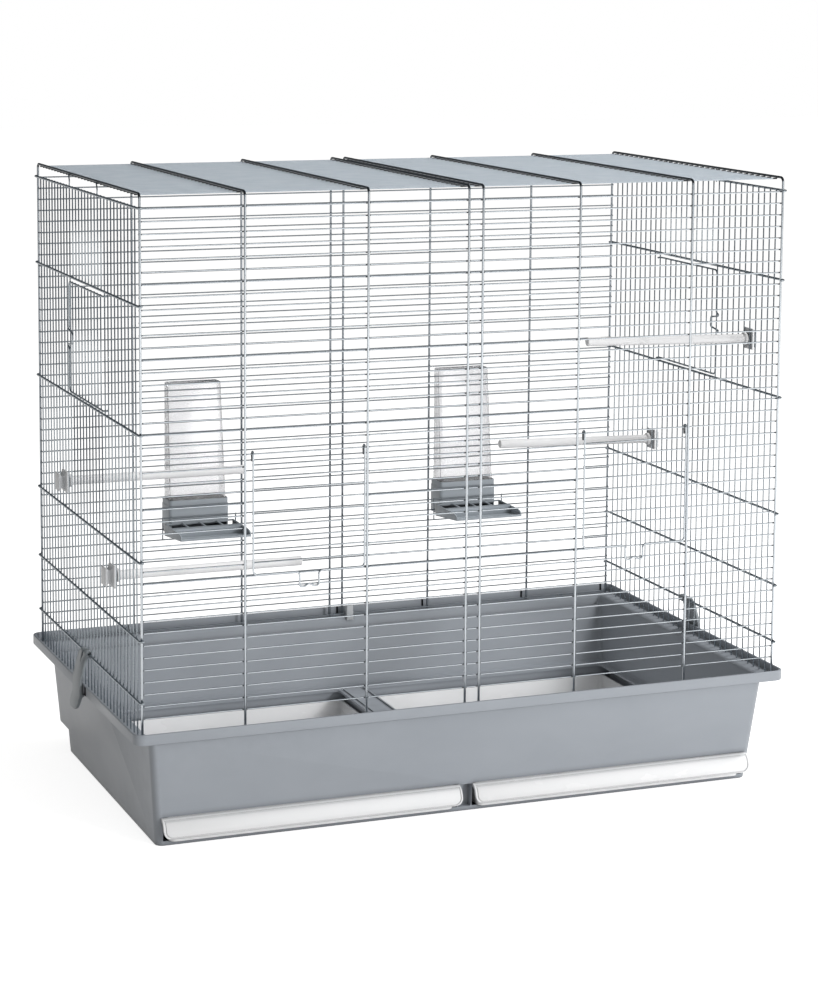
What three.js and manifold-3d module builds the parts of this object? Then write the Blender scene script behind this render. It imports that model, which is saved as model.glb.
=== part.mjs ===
// A large wire bird cage on a plastic base with two slide-out drawers.
// Millimetres, +Z up, front towards -Y, origin in the middle of the base's underside.
import * as THREE from "three";
import { mergeVertices } from "three/addons/utils/BufferGeometryUtils.js";
import Module from "manifold-3d";

const wasm = await Module();
wasm.setup();

// Wire cage, between wire centres
const cageWidth = 860;
const cageDepth = 500;
const cageHeight = 648; // top wires above the rim of the base
const levelPitch = 15.05; // between the level wires of the front, back and top
const uprightPitch = 15.6; // between the upright wires of the side panels
const thickWire = 3.2; // hoops and cross rods
const thinWire = 1.9; // level and upright wires
const frameWire = 2.4; // door frames
const hoopBend = 6; // bend radius of a hoop at the top edges
const weldDepth = 0.2; // two crossing wires sink this far into each other where welded
const passGap = 0.1; // between crossing wires of one grille that aren't welded
const touchGap = 0.3; // left between pieces that only touch
const wireOverhang = 1.1; // a thin wire's end past the middle of the thick one

// Hoops, from the middle of the cage outwards
const middleHoop = 9.5;
const doorInnerHoop = 142;
const doorOuterHoop = 300;
const cornerHoop = cageWidth / 2;

// Cross rods of a side panel, above the rim
const footRod = 36;
const lowRod = 112;
const waistRod = 208;
const doorSillRod = 362.5;
const doorHeadRod = 517;
const topRod = 633.5;

// Base
const baseHeight = 152.5;
const baseWall = 3;
const rimReach = 13; // rim past the wires at the sides
const rimReachY = 17; // and in front and behind
const rimSkirt = 13.5;
const rimCorner = 14;
const rimWall = 3.5; // upstand round the edge of the rim
const shelfDrop = 10; // shelf inside the upstand that the wires stand on
const shelfRound = 2.5; // chamfered edge from the shelf into the funnel
const bodyTopInset = 10; // body's side walls inside the wires, under the rim
const bodyTopInsetY = 1; // and its front and back walls
const bodyTaper = 13; // and how much more at the foot
const bodyTaperFront = 18;
const bodyTaperBack = 3;
const bodyCorner = 10;
const funnelDepth = 100;
const funnelTaper = 15;
const funnelTaperBack = 42;
const funnelTaperFront = 28;
const floorEdge = 12; // ledge round the openings over the drawers
const floorEdgeBack = 20;
const dividerHalf = 20; // middle strip between those openings
const dividerGroove = 5;
const backStep = 57; // the rear of the base stops short of its foot
const backStepHeight = 31.5;
const runnerWidth = 4;
const runnerHeight = 3;
const postHalf = 10; // post between the drawers
const bayEnd = 8; // base wall beside a drawer opening, at each end
const bayHeight = 31.5; // top of the drawer openings, above their sill
const ribLength = 16; // small ribs under the rim on each side
const ribDrop = 14;

// Drawers
const drawerGap = 3; // beside the drawer's tray
const drawerWall = 2.5;
const drawerHeight = 30;
const drawerTaper = 4;
const drawerCorner = 8;
const lipReach = 14; // scoop handle in front of the base
const lipHeight = 24.5;
const lipWall = 2.4;
const lipCorner = 11;
const lipEndGap = 4.5; // lip's outer end from the base's corner
const lipPost = 1; // its inner end over the post
const drawerBackGap = 3;

// Front doors
const hingeLevel = 22; // level wire that a door hangs on
const sillLevel = 12; // highest level wire under a door
const doorWidth = 144; // between the frame's uprights
const doorSideShift = 3.2; // both doors sit a little to the right in their bays
const doorWireRise = 1.7; // a door's level wires above those beside it
const pullWidth = 25;
const pullDrop = 19;
const doorBend = 5;
const pullHump = 4;

// Side doors
const sideDoorHinge = 6; // upright wire that the door turns on, counted from the middle
const sideDoorStop = 5; // upright just past its free side, on the other side of the middle
const sideDoorFree = 72; // its free side, from the middle
const sideDoorEdge = 6.5; // frame bar below the head rod
const sideDoorSill = 4.5; // frame bar above the sill rod
const catchHeight = 13;
const catchReach = 16; // finger loop, into the door
const catchHook = 9; // hooks past the free side
const catchStep = 4;
const catchBend = 3;
const catchRise = 71; // middle of the catch above the sill bar

// Feeders, outside the back wall with a tray reaching in
const feederPlace = 204.5; // from the middle of the cage
const feederWidth = 87;
const feederDepth = 41;
const feederFloor = 125.5; // underside above the rim
const feederTop = 174;
const feederWall = 1.6;
const feederCorner = 5;
const feederBand = 8; // stepped band round the top of the box
const feederBandStep = 0.6;
const trayWidth = 101;
const trayReach = 81.5;
const trayHeight = 17; // cheeks, at the wall
const trayRise = 8; // floor's rise towards the tip
const trayRound = 22; // rounded part of the cheeks
const trayLip = 3;
const trayBars = 3;
const trayBar = 2.2;
const trayBridge = 12; // bar that carries the grid, in front of it
const trayBridgeDrop = 8; // its skirt in front
const trayGridReach = 31;
const portLevels = [9]; // level wires that are cut for a tray
const portPost = 1; // uprights beside the cut

// Hoppers
const hopperHeight = 175;
const hopperTopWidth = 78;
const hopperFootWidth = 82;
const hopperTopDepth = 22;
const hopperFootDepth = 36;
const hopperLean = 4; // its top stands further back
const hopperWall = 1.6;
const hopperCorner = 5;
const hopperSink = 12; // foot inside the feeder's box
const ventWidth = 26;
const ventHeight = 3;
const ventDrop = 8;

// Perches
const perchWire = 12;
const perchLength = 243;
const perchCollar = 17;
const perchCollarWidth = 4;
const perchNeck = 5; // between the panel's wires
const perchLeftRear = 243; // heights above the rim
const perchLeftFront = 167;
const perchRightFront = 429;
const perchRightRear = 246;
const capWidth = 26; // plate against the panel
const capHeight = 28;
const capPlate = 2.5;
const capDepth = 13;
const capNeck = 4; // sets how far the waist is drawn in
const capGripInset = 2.5; // and the outer end this much

// Side clips
const clipWidth = 36;
const curlWidth = 10.4;
const curlWall = 2.8;
const curlMouthShare = 0.3; // open part of a curl, of the full turn
const clipWall = 3.6;
const clipLip = 2.1; // hook under the rim
const clipLipWall = 2;
const tabDrop = 20; // finger tab below the rim
const tabFlare = 9;
const tabCorner = 10;

// Rear clip
const rearClipPlace = 18.5;
const rearClipWidth = 10;
const rearClipWall = 2.2;
const rearClipRise = 5;
const rearClipDrop = 3;

// Facets
const wireSides = 4;
const roundSides = 10;
const cornerSteps = 3;
const smallCornerSteps = 2;
const curveSteps = 4;
const curlSteps = 7;
const bendSteps = 2;
const hookSteps = 4;
const hookTurn = Math.PI * 1.15; // part of a turn that a hook or curl takes round its wire
const cutOver = 2; // cuts run this far past a face

// Places worked out from the sizes above
const rimTop = baseHeight;
const halfDepth = cageDepth / 2;
const ridgeShare = Math.sqrt(Math.PI / 8); // middle to edge of a square wire with a round one's area
const thinRidge = thinWire * ridgeShare;
const frameRidge = frameWire * ridgeShare;
const thickRidge = thickWire * ridgeShare;
const thickFlat = thickRidge / Math.sqrt(2);
const weldReach = thickRidge + thinRidge - weldDepth; // between the middles of two welded wires
const weldStep = weldDepth + passGap; // from a wire that passes to one that is welded
const hoopOffset = weldReach + weldStep / 2; // hoops outside the level wires, but for the corner hoops
const rodPlane = cornerHoop + thickFlat + thickRidge + touchGap; // cross rods outside the corner hoops
const panelPlane = rodPlane - weldReach; // upright wires of a side panel
const rodEnd = halfDepth + thickFlat + thickRidge + touchGap;
const shelfTop = rimTop - shelfDrop;
const footEnd = shelfTop + touchGap;
const levels = Math.round(cageHeight / levelPitch);
const uprights = Math.round(cageDepth / uprightPitch);
const footLevel = footEnd + thinWire;
const hingeReach = thinRidge + frameRidge + touchGap; // door frame round the wire it turns on
const rodHeights = [footRod, lowRod, waistRod, doorSillRod, doorHeadRod, topRod];
const hoopPlaces = [cornerHoop, doorOuterHoop, doorInnerHoop, middleHoop];

const vec = (x, y, z) => new THREE.Vector3(x, y, z);
const levelHeight = (count) => (count === 0 ? footLevel : rimTop + count * levelPitch);

// Solids and meshes

// Turns a closed three.js geometry into a solid that can be joined and cut.
function solid(geometry) {
  const bare = geometry.clone();
  bare.deleteAttribute("normal");
  bare.deleteAttribute("uv");
  const closed = mergeVertices(bare);
  return new wasm.Manifold(new wasm.Mesh({
    numProp: 3,
    vertProperties: new Float32Array(closed.attributes.position.array),
    triVerts: new Uint32Array(closed.index.array),
  }));
}

const joined = (solids) => solids.reduce((whole, next) => whole.add(next));

function mesh(name, body, material) {
  const data = body.getMesh();
  const geometry = new THREE.BufferGeometry();
  geometry.setAttribute("position", new THREE.BufferAttribute(new Float32Array(data.vertProperties), 3));
  geometry.setIndex(new THREE.BufferAttribute(new Uint32Array(data.triVerts), 1));
  geometry.computeVertexNormals();
  const made = new THREE.Mesh(geometry, material);
  made.name = name;
  return made;
}

// A block between two opposite corners.
function block(low, high) {
  const size = high.clone().sub(low);
  const middle = high.clone().add(low).multiplyScalar(0.5);
  return solid(new THREE.BoxGeometry(size.x, size.y, size.z).translate(middle.x, middle.y, middle.z));
}

// A rectangle with round corners, as a shape.
function roundedShape(left, right, low, high, radius) {
  const shape = new THREE.Shape();
  shape.absarc(right - radius, high - radius, radius, 0, Math.PI / 2);
  shape.absarc(left + radius, high - radius, radius, Math.PI / 2, Math.PI);
  shape.absarc(left + radius, low + radius, radius, Math.PI, Math.PI * 1.5);
  shape.absarc(right - radius, low + radius, radius, Math.PI * 1.5, Math.PI * 2);
  return shape;
}

// A box with round upright edges whose foot is drawn in: foot = { x, back, front } from the top's sides.
function tapered(top, foot, low, high, radius, steps = cornerSteps) {
  const shape = roundedShape(top.left, top.right, top.front, top.back, radius);
  const settings = { depth: high - low, bevelEnabled: false, curveSegments: steps };
  const geometry = new THREE.ExtrudeGeometry(shape, settings);
  const middleX = (top.left + top.right) / 2;
  const middleY = (top.front + top.back) / 2;
  const place = geometry.attributes.position;
  for (let i = 0; i < place.count; i++) {
    if (place.getZ(i) > 0) continue;
    const x = place.getX(i);
    const y = place.getY(i);
    place.setX(i, x > middleX ? x - foot.x : x + foot.x);
    place.setY(i, y > middleY ? y - foot.back : y + foot.front);
  }
  return solid(geometry.translate(0, 0, low));
}

// Grown outwards on all four sides.
const grown = (box, by) => ({
  left: box.left - by, right: box.right + by, front: box.front - by, back: box.back + by,
});

// A flat outline pushed through along X, Y or Z, from one place to another.
function through(shape, axis, from, to, steps = cornerSteps) {
  const settings = { depth: to - from, bevelEnabled: false, curveSegments: steps };
  const geometry = new THREE.ExtrudeGeometry(shape, settings);
  geometry.translate(0, 0, from);
  if (axis === "x") geometry.rotateY(Math.PI / 2).rotateX(Math.PI / 2);
  if (axis === "y") geometry.rotateX(Math.PI / 2).scale(1, -1, 1);
  return solid(axis === "y" ? flipped(geometry) : geometry);
}

// Turns a mirrored geometry's faces outwards again.
function flipped(geometry) {
  const corners = geometry.attributes.position;
  for (let i = 0; i < corners.count; i += 3) {
    const first = vec(corners.getX(i), corners.getY(i), corners.getZ(i));
    corners.setXYZ(i, corners.getX(i + 1), corners.getY(i + 1), corners.getZ(i + 1));
    corners.setXYZ(i + 1, first.x, first.y, first.z);
  }
  return geometry;
}

// Wires

// A path through given points, with the wire's section square to the bend at each.
class WirePath extends THREE.Curve {
  constructor(points) {
    super();
    this.points = points;
  }

  index(share) {
    return Math.round(share * (this.points.length - 1));
  }

  getPointAt(share, target = vec(0, 0, 0)) {
    return target.copy(this.points[this.index(share)]);
  }

  getTangentAt(share, target = vec(0, 0, 0)) {
    const i = this.index(share);
    const here = this.points[i];
    target.set(0, 0, 0);
    if (i > 0) target.add(here.clone().sub(this.points[i - 1]).normalize());
    if (i < this.points.length - 1) target.add(this.points[i + 1].clone().sub(here).normalize());
    return target.normalize();
  }
}

// A line of corners with each inner corner rounded.
function bent(corners, radius, steps = bendSteps) {
  const points = [corners[0]];
  for (let i = 1; i < corners.length - 1; i++) {
    const back = corners[i - 1].clone().sub(corners[i]).normalize();
    const on = corners[i + 1].clone().sub(corners[i]).normalize();
    const half = back.angleTo(on) / 2;
    const bend = Math.min(radius, Math.tan(half) * corners[i].distanceTo(corners[i + 1]) / 2);
    const middle = back.clone().add(on).normalize().multiplyScalar(bend / Math.sin(half)).add(corners[i]);
    const start = back.multiplyScalar(bend / Math.tan(half)).add(corners[i]).sub(middle);
    const end = on.multiplyScalar(bend / Math.tan(half)).add(corners[i]).sub(middle);
    const axis = start.clone().cross(end).normalize();
    for (let step = 0; step <= steps; step++) {
      points.push(start.clone().applyAxisAngle(axis, (start.angleTo(end) * step) / steps).add(middle));
    }
  }
  points.push(corners[corners.length - 1]);
  return points;
}

// Points on a part of a circle, about a middle, from one direction turning about an axis.
function arcPoints(middle, start, axis, angle, steps) {
  const points = [];
  for (let step = 0; step <= steps; step++) {
    points.push(start.clone().applyAxisAngle(axis, (angle * step) / steps).add(middle));
  }
  return points;
}

// A wire along points, with an edge or, if flat, a face of its square section outwards.
function wire(points, ridge, flat = false) {
  const section = new THREE.Shape();
  for (let side = 0; side < wireSides; side++) {
    const angle = ((side + (flat ? 1 / 2 : 0)) * 2 * Math.PI) / wireSides;
    if (side === 0) section.moveTo(ridge * Math.cos(angle), ridge * Math.sin(angle));
    else section.lineTo(ridge * Math.cos(angle), ridge * Math.sin(angle));
  }
  section.closePath();
  return solid(new THREE.ExtrudeGeometry(section, {
    steps: points.length - 1,
    extrudePath: new WirePath(points),
    bevelEnabled: false,
  }));
}

const thin = (from, to) => wire([from, to], thinRidge);
const levelWire = (left, right, y, z) => thin(vec(left, y, z), vec(right, y, z));
const upright = (x, y, low, high) => thin(vec(x, y, low), vec(x, y, high));

// All eight hoop places, from left to right.
const hoops = [...hoopPlaces.map((place) => -place), ...hoopPlaces.slice().reverse()];

// A wall's part of a hoop, up to the end of the bend at the top edge.
function hoopLeg(x, wall) {
  const corner = Math.abs(x) === cornerHoop;
  const offset = corner ? 0 : hoopOffset;
  const outer = wall * (halfDepth + offset);
  const top = rimTop + cageHeight + offset;
  const path = [vec(x, outer, footEnd), vec(x, outer, top), vec(x, wall * roofEnd, top)];
  return wire(bent(path, hoopBend + offset), thickRidge, corner);
}

const roofEnd = halfDepth - hoopBend - thickWire; // where the walls' hoops meet the roof's

// Level wires that a door takes the place of.
const cutByDoor = (level) => level > sillLevel && level < hingeLevel;

// Wires of a wall stand in one of two planes: passing the hoops, or welded to each.
const wirePlane = (welded) => halfDepth + (welded ? weldStep : -weldStep) / 2;

// Levels whose wires are welded to every hoop.
const weldedLevels = [0, sillLevel, hingeLevel, levels - 2];

function frontGrille() {
  const pieces = hoops.map((x) => hoopLeg(x, -1));
  for (let level = 0; level < levels; level++) {
    const z = levelHeight(level);
    if (cutByDoor(level)) {
      const y = -wirePlane(true);
      pieces.push(levelWire(-cornerHoop, -doorOuterHoop + wireOverhang, y, z));
      pieces.push(levelWire(doorOuterHoop - wireOverhang, cornerHoop, y, z));
      pieces.push(levelWire(-doorInnerHoop - wireOverhang, doorInnerHoop + wireOverhang, y, z));
    } else {
      pieces.push(levelWire(-cornerHoop, cornerHoop, -wirePlane(weldedLevels.includes(level)), z));
    }
  }
  return joined(pieces);
}

// Room for a feeder's tray in the back wall: cut wires between two short uprights.
function trayPort(side) {
  const middle = side * feederPlace;
  const reach = trayWidth / 2 + thinWire + portPost;
  const low = levelHeight(portLevels[0] - 1) - wireOverhang;
  const high = levelHeight(portLevels[portLevels.length - 1] + 1) + wireOverhang;
  const plane = wirePlane(true) + 2 * thinRidge - weldDepth;
  return {
    left: middle - reach,
    right: middle + reach,
    posts: [-1, 1].map((end) => upright(middle + end * reach, plane, low, high)),
  };
}

function backGrille() {
  const [leftPort, rightPort] = [trayPort(-1), trayPort(1)];
  const pieces = hoops.map((x) => hoopLeg(x, 1));
  pieces.push(...leftPort.posts, ...rightPort.posts);
  for (let level = 0; level < levels; level++) {
    const z = levelHeight(level);
    if (portLevels.includes(level)) {
      const y = wirePlane(true);
      pieces.push(levelWire(-cornerHoop, leftPort.left + wireOverhang, y, z));
      pieces.push(levelWire(leftPort.right - wireOverhang, rightPort.left + wireOverhang, y, z));
      pieces.push(levelWire(rightPort.right - wireOverhang, cornerHoop, y, z));
    } else {
      const besidePort = level === portLevels[0] - 1 || level === portLevels[portLevels.length - 1] + 1;
      const plane = wirePlane(besidePort || weldedLevels.includes(level));
      pieces.push(levelWire(-cornerHoop, cornerHoop, plane, z));
    }
  }
  return joined(pieces);
}

// The roof: hoops over thin wires, meeting the front and back legs end to end.
function topGrille() {
  const rise = rimTop + cageHeight - halfDepth;
  const end = roofEnd - touchGap;
  const pieces = hoops.map((x) => {
    const corner = Math.abs(x) === cornerHoop;
    const z = rimTop + cageHeight + (corner ? 0 : hoopOffset);
    return wire([vec(x, -end, z), vec(x, end, z)], thickRidge, corner);
  });
  const half = uprights / 2;
  for (let count = 1 - half; count < half; count++) {
    const welded = count === 0 || Math.abs(count) === half - 1;
    pieces.push(levelWire(-cornerHoop, cornerHoop, count * uprightPitch, wirePlane(welded) + rise));
  }
  return joined(pieces);
}

// Side panels

// A cross rod outside the uprights, its ends hooked round the corner hoops.
function crossRod(side, height) {
  const outer = height === footRod || height === topRod ? 0 : weldStep;
  const x = side * (rodPlane + outer);
  const z = rimTop + height;
  const hook = side * (cornerHoop - thickFlat);
  const path = [vec(hook, -rodEnd, z), vec(x, -rodEnd, z), vec(x, rodEnd, z), vec(hook, rodEnd, z)];
  return wire(bent(path, thickWire / 2, 1), thickRidge);
}

// A panel's door is between its hinge wire and the upright just past its free side.
function inDoorway(side, count) {
  const along = side * count;
  return along < sideDoorHinge && along > -sideDoorStop;
}

function sidePanel(side) {
  const pieces = rodHeights.map((height) => crossRod(side, height));
  const half = uprights / 2;
  const top = rimTop + topRod + wireOverhang;
  for (let count = 1 - half; count < half; count++) {
    const welded = count === half - 1 || count === 1 - half || count === side * sideDoorStop * -1;
    const x = side * (panelPlane + (welded ? weldStep : 0));
    const y = count * uprightPitch;
    if (inDoorway(side, count)) {
      pieces.push(upright(x, y, footEnd, rimTop + doorSillRod + wireOverhang));
      pieces.push(upright(x, y, rimTop + doorHeadRod - wireOverhang, top));
    } else {
      pieces.push(upright(x, y, footEnd, top));
    }
  }
  return joined(pieces);
}

// Front doors

// A frame bent from one wire: hook, upright, foot with the pull, upright, hook.
function frontDoor(side) {
  const middle = (side * (doorInnerHoop + doorOuterHoop)) / 2 + doorSideShift;
  const hinge = vec(0, -wirePlane(true), levelHeight(hingeLevel));
  const y = hinge.y - hingeReach;
  const foot = levelHeight(sillLevel) + doorWireRise;
  const wires = [];
  for (const end of [-1, 1]) {
    const x = middle + (end * doorWidth) / 2;
    const pull = middle + (end * pullWidth) / 2;
    const turn = vec(x, hinge.y, hinge.z);
    const hook = arcPoints(turn, vec(0, -hingeReach, 0), vec(-1, 0, 0), hookTurn, hookSteps);
    const path = bent([
      vec(x, y, hinge.z - hingeReach),
      vec(x, y, foot),
      vec(pull, y, foot),
      vec(pull, y, foot - pullDrop),
      vec(middle + (end * pullWidth) / 4, y, foot - pullDrop),
      vec(middle, y, foot - pullDrop + pullHump),
    ], doorBend, 1);
    wires.push(wire([...hook.reverse(), ...path], frameRidge));
  }
  const inside = y + frameRidge + thinRidge - weldDepth;
  for (let level = sillLevel + 1; level < hingeLevel; level++) {
    const reach = doorWidth / 2 + wireOverhang;
    wires.push(levelWire(middle - reach, middle + reach, inside, levelHeight(level) + doorWireRise));
  }
  return joined(wires);
}

// Side doors

// A frame bent from one wire, with a curl round the hinge wire at each end and a catch in its free side.
function sideDoor(side) {
  const hinge = vec(side * panelPlane, side * sideDoorHinge * uprightPitch, 0);
  const x = hinge.x + side * hingeReach;
  const free = -side * sideDoorFree;
  const low = rimTop + doorSillRod + sideDoorSill;
  const high = rimTop + doorHeadRod - sideDoorEdge;
  const middle = low + catchRise;
  const wires = [];
  for (const [bar, end] of [[low, -1], [high, 1]]) {
    const turn = vec(hinge.x, hinge.y, bar);
    const curl = arcPoints(turn, vec(side * hingeReach, 0, 0), vec(0, 0, 1), hookTurn, hookSteps);
    const edge = middle + (end * catchHeight) / 2;
    const path = bent([
      vec(x, hinge.y - side * hingeReach, bar),
      vec(x, free, bar),
      vec(x, free, edge + 2 * end * catchStep),
      vec(x, free - side * catchHook, edge + end * catchStep),
      vec(x, free + side * catchReach, edge),
      vec(x, free + side * catchReach, middle),
    ], catchBend, 1);
    wires.push(wire([...curl.reverse(), ...path], frameRidge));
  }
  const inside = x - side * (frameRidge + thinRidge - weldDepth);
  for (let count = 1 - sideDoorStop; count < sideDoorHinge; count++) {
    wires.push(upright(inside, side * count * uprightPitch, low - wireOverhang, high + wireOverhang));
  }
  return joined(wires);
}

// Base

const rimBox = {
  left: -cornerHoop - rimReach, right: cornerHoop + rimReach,
  front: -halfDepth - rimReachY, back: halfDepth + rimReachY,
};
const bodyBox = {
  left: -cornerHoop + bodyTopInset, right: cornerHoop - bodyTopInset,
  front: -halfDepth + bodyTopInsetY, back: halfDepth - bodyTopInsetY,
};
const funnelBox = grown(bodyBox, -baseWall);
const plateUnder = shelfTop - baseWall;
const sillTop = baseWall + runnerHeight;
const funnelFloor = rimTop - funnelDepth;
const backOfBay = halfDepth - bodyTopInsetY - backStep;
const bodyFrontFoot = bodyBox.front + bodyTaperFront;
const bodyFoot = { x: bodyTaper, back: bodyTaperBack, front: bodyTaperFront };
const funnelFoot = { x: funnelTaper, back: funnelTaperBack, front: funnelTaperFront };
const straight = { x: 0, back: 0, front: 0 };

// Half the body's width and its front face at a height, from its taper.
const bodyHalf = (z) => bodyBox.right - bodyTaper * (1 - z / plateUnder);
const bodyFront = (z) => bodyBox.front + bodyTaperFront * (1 - z / plateUnder);
const bayRight = bodyHalf(0) - bayEnd;

function baseShell() {
  const outer = tapered(bodyBox, bodyFoot, 0, shelfTop, bodyCorner);
  const rim = tapered(rimBox, straight, rimTop - rimSkirt, rimTop, rimCorner);
  const under = tapered(grown(rimBox, -rimWall), straight, -cutOver, plateUnder, rimCorner - rimWall);
  const step = block(
    vec(rimBox.left, backOfBay, -cutOver),
    vec(rimBox.right, rimBox.back, backStepHeight),
  );
  return outer.subtract(step).add(rim.subtract(under));
}

// The space under the funnel: the drawer bays and the hollow behind each wall.
function underSpace() {
  const inside = tapered(funnelBox, bodyFoot, baseWall, plateUnder, bodyCorner - baseWall);
  const funnelSides = { ...grown(funnelBox, baseWall), left: bodyBox.left, right: bodyBox.right };
  const funnelSlope = { ...funnelFoot, x: 0 };
  const funnel = tapered(funnelSides, funnelSlope, funnelFloor - baseWall, shelfTop, bodyCorner);
  const bayBack = block(
    vec(rimBox.left, backOfBay - baseWall, 0),
    vec(rimBox.right, backOfBay, funnelFloor),
  );
  const post = block(
    vec(-postHalf, rimBox.front, 0),
    vec(postHalf, backOfBay, funnelFloor - baseWall),
  );
  return inside.subtract(funnel).subtract(bayBack).subtract(post);
}

function base() {
  const funnelTop = shelfTop - shelfRound;
  const funnel = tapered(funnelBox, funnelFoot, funnelFloor, funnelTop, bodyCorner - baseWall);
  const round = { x: shelfRound, back: shelfRound, front: shelfRound };
  const edge = tapered(grown(funnelBox, shelfRound), round, funnelTop, shelfTop, bodyCorner);
  const well = tapered(grown(rimBox, -rimWall), straight, shelfTop, rimTop + cutOver, rimCorner - rimWall);
  let body = baseShell().subtract(underSpace()).subtract(funnel).subtract(edge).subtract(well);
  const floorRight = funnelBox.right - funnelTaper - floorEdge;
  const floorBack = funnelBox.back - funnelTaperBack - floorEdgeBack;
  const floorFront = funnelBox.front + funnelTaperFront + floorEdge;
  for (const side of [-1, 1]) {
    const inner = side * dividerHalf;
    const outer = side * floorRight;
    body = body.subtract(through(
      roundedShape(Math.min(inner, outer), Math.max(inner, outer), floorFront, floorBack, dividerGroove),
      "z", funnelFloor - baseWall - cutOver, funnelFloor + cutOver, smallCornerSteps,
    ));
    const bay = [side * postHalf, side * bayRight].sort((a, b) => a - b);
    body = body.subtract(block(
      vec(bay[0], bodyBox.front - cutOver, sillTop),
      vec(bay[1], bodyFrontFoot + baseWall + cutOver, sillTop + bayHeight),
    ));
    for (const share of runnerShares) {
      const x = side * (postHalf + share * (bayRight - postHalf));
      body = body.add(block(
        vec(x - runnerWidth / 2, bodyFrontFoot + baseWall / 2, baseWall / 2),
        vec(x + runnerWidth / 2, backOfBay - baseWall / 2, sillTop),
      ));
    }
    body = body.subtract(block(
      vec(inner - side * dividerGroove - dividerGroove / 2, floorFront, funnelFloor - baseWall / 2),
      vec(inner - side * dividerGroove + dividerGroove / 2, floorBack, funnelFloor + cutOver),
    ));
    body = body.add(rimRib(side));
  }
  return body;
}

const runnerShares = [0.15, 0.5, 0.85]; // places of the runners across a drawer bay

// A three-cornered rib under the rim at each side, in front of the clip.
function rimRib(side) {
  const wallX = bodyHalf(plateUnder) - baseWall / 2;
  const shape = new THREE.Shape([
    new THREE.Vector2(wallX, plateUnder + baseWall / 2),
    new THREE.Vector2(wallX, plateUnder - ribDrop),
    new THREE.Vector2(wallX + baseWall, plateUnder - ribDrop),
    new THREE.Vector2(rimBox.right - baseWall / 2, plateUnder + baseWall / 2),
  ]);
  const middle = -clipWidth / 2 - ribLength;
  const rib = through(shape, "y", middle - baseWall / 2, middle + baseWall / 2);
  return side > 0 ? rib : rib.rotate([0, 0, 180]);
}

// Drawers

// An open tray with a curved scoop handle across its front.
function drawer(side) {
  const inner = postHalf + drawerGap;
  const outer = bayRight - drawerGap;
  const low = sillTop + touchGap;
  const scoopBack = bodyFront(sillTop + bayHeight) - touchGap;
  const box = {
    left: side < 0 ? -outer : inner,
    right: side < 0 ? -inner : outer,
    front: scoopBack - drawerWall,
    back: backOfBay - baseWall - drawerBackGap,
  };
  const foot = { x: drawerTaper, back: drawerTaper, front: 0 };
  const tray = tapered(box, foot, low, low + drawerHeight, drawerCorner);
  const room = tapered(grown(box, -drawerWall), foot, low + drawerWall, low + drawerHeight + cutOver,
    drawerCorner - drawerWall);
  return tray.subtract(room).add(scoop(side, scoopBack));
}

// The handle: a curved plate leaning out at its foot, with round lower corners.
function scoop(side, back) {
  const top = sillTop + bayHeight - touchGap;
  const face = back - lipReach;
  const foot = top - lipHeight;
  const profile = new THREE.Shape();
  profile.moveTo(back, top);
  profile.quadraticCurveTo(face, top - lipWall, face, foot + lipWall);
  profile.lineTo(face + lipWall, foot);
  profile.lineTo(face + 2 * lipWall, foot + lipWall);
  profile.quadraticCurveTo(face + 2 * lipWall, top - 2 * lipWall, back, top - 2 * lipWall);
  const outer = bodyHalf(0) - lipEndGap;
  const inner = postHalf - lipPost;
  const left = side < 0 ? -outer : inner;
  const right = side < 0 ? -inner : outer;
  const outline = new THREE.Shape();
  outline.moveTo(left, top + cutOver);
  outline.lineTo(left, foot + lipCorner);
  outline.absarc(left + lipCorner, foot + lipCorner, lipCorner, Math.PI, Math.PI * 1.5);
  outline.absarc(right - lipCorner, foot + lipCorner, lipCorner, Math.PI * 1.5, Math.PI * 2);
  outline.lineTo(right, top + cutOver);
  const plate = through(profile, "x", left - cutOver, right + cutOver, curveSteps);
  return plate.intersect(through(outline, "y", face - cutOver, back + cutOver, curveSteps));
}

// Feeders

const feederFront = halfDepth + thinRidge + touchGap; // box against the outside of the back wires

// A box outside the back wall with a trough reaching in under it.
function feeder(side) {
  const middle = side * feederPlace;
  const floor = rimTop + feederFloor;
  const top = rimTop + feederTop;
  const box = {
    left: middle - feederWidth / 2, right: middle + feederWidth / 2,
    front: feederFront, back: feederFront + feederDepth,
  };
  const band = grown(box, -feederBandStep);
  let body = tapered(box, straight, floor, top - feederBand, feederCorner, smallCornerSteps)
    .add(tapered(band, straight, floor, top, feederCorner, smallCornerSteps));
  const hollow = grown(band, -feederWall);
  const corner = feederCorner - feederWall;
  const room = tapered(hollow, straight, floor + feederWall, top + cutOver, corner, smallCornerSteps);
  body = body.subtract(room);
  return body.add(trough(middle, floor)).subtract(mouth(middle, floor));
}

// Side view of the trough: level on top, then a quarter round down to the tip.
function cheekShape(floor, inset) {
  const tip = feederFront + feederWall - trayReach;
  const back = feederFront + feederWall;
  const top = floor + trayHeight - inset;
  const shape = new THREE.Shape();
  shape.moveTo(back, floor + inset);
  shape.lineTo(back, top);
  shape.lineTo(tip + trayRound, top);
  shape.quadraticCurveTo(tip + inset, top, tip + inset, floor + trayRise + trayLip);
  shape.lineTo(tip + inset, floor + trayRise + inset);
  return shape;
}

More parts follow.
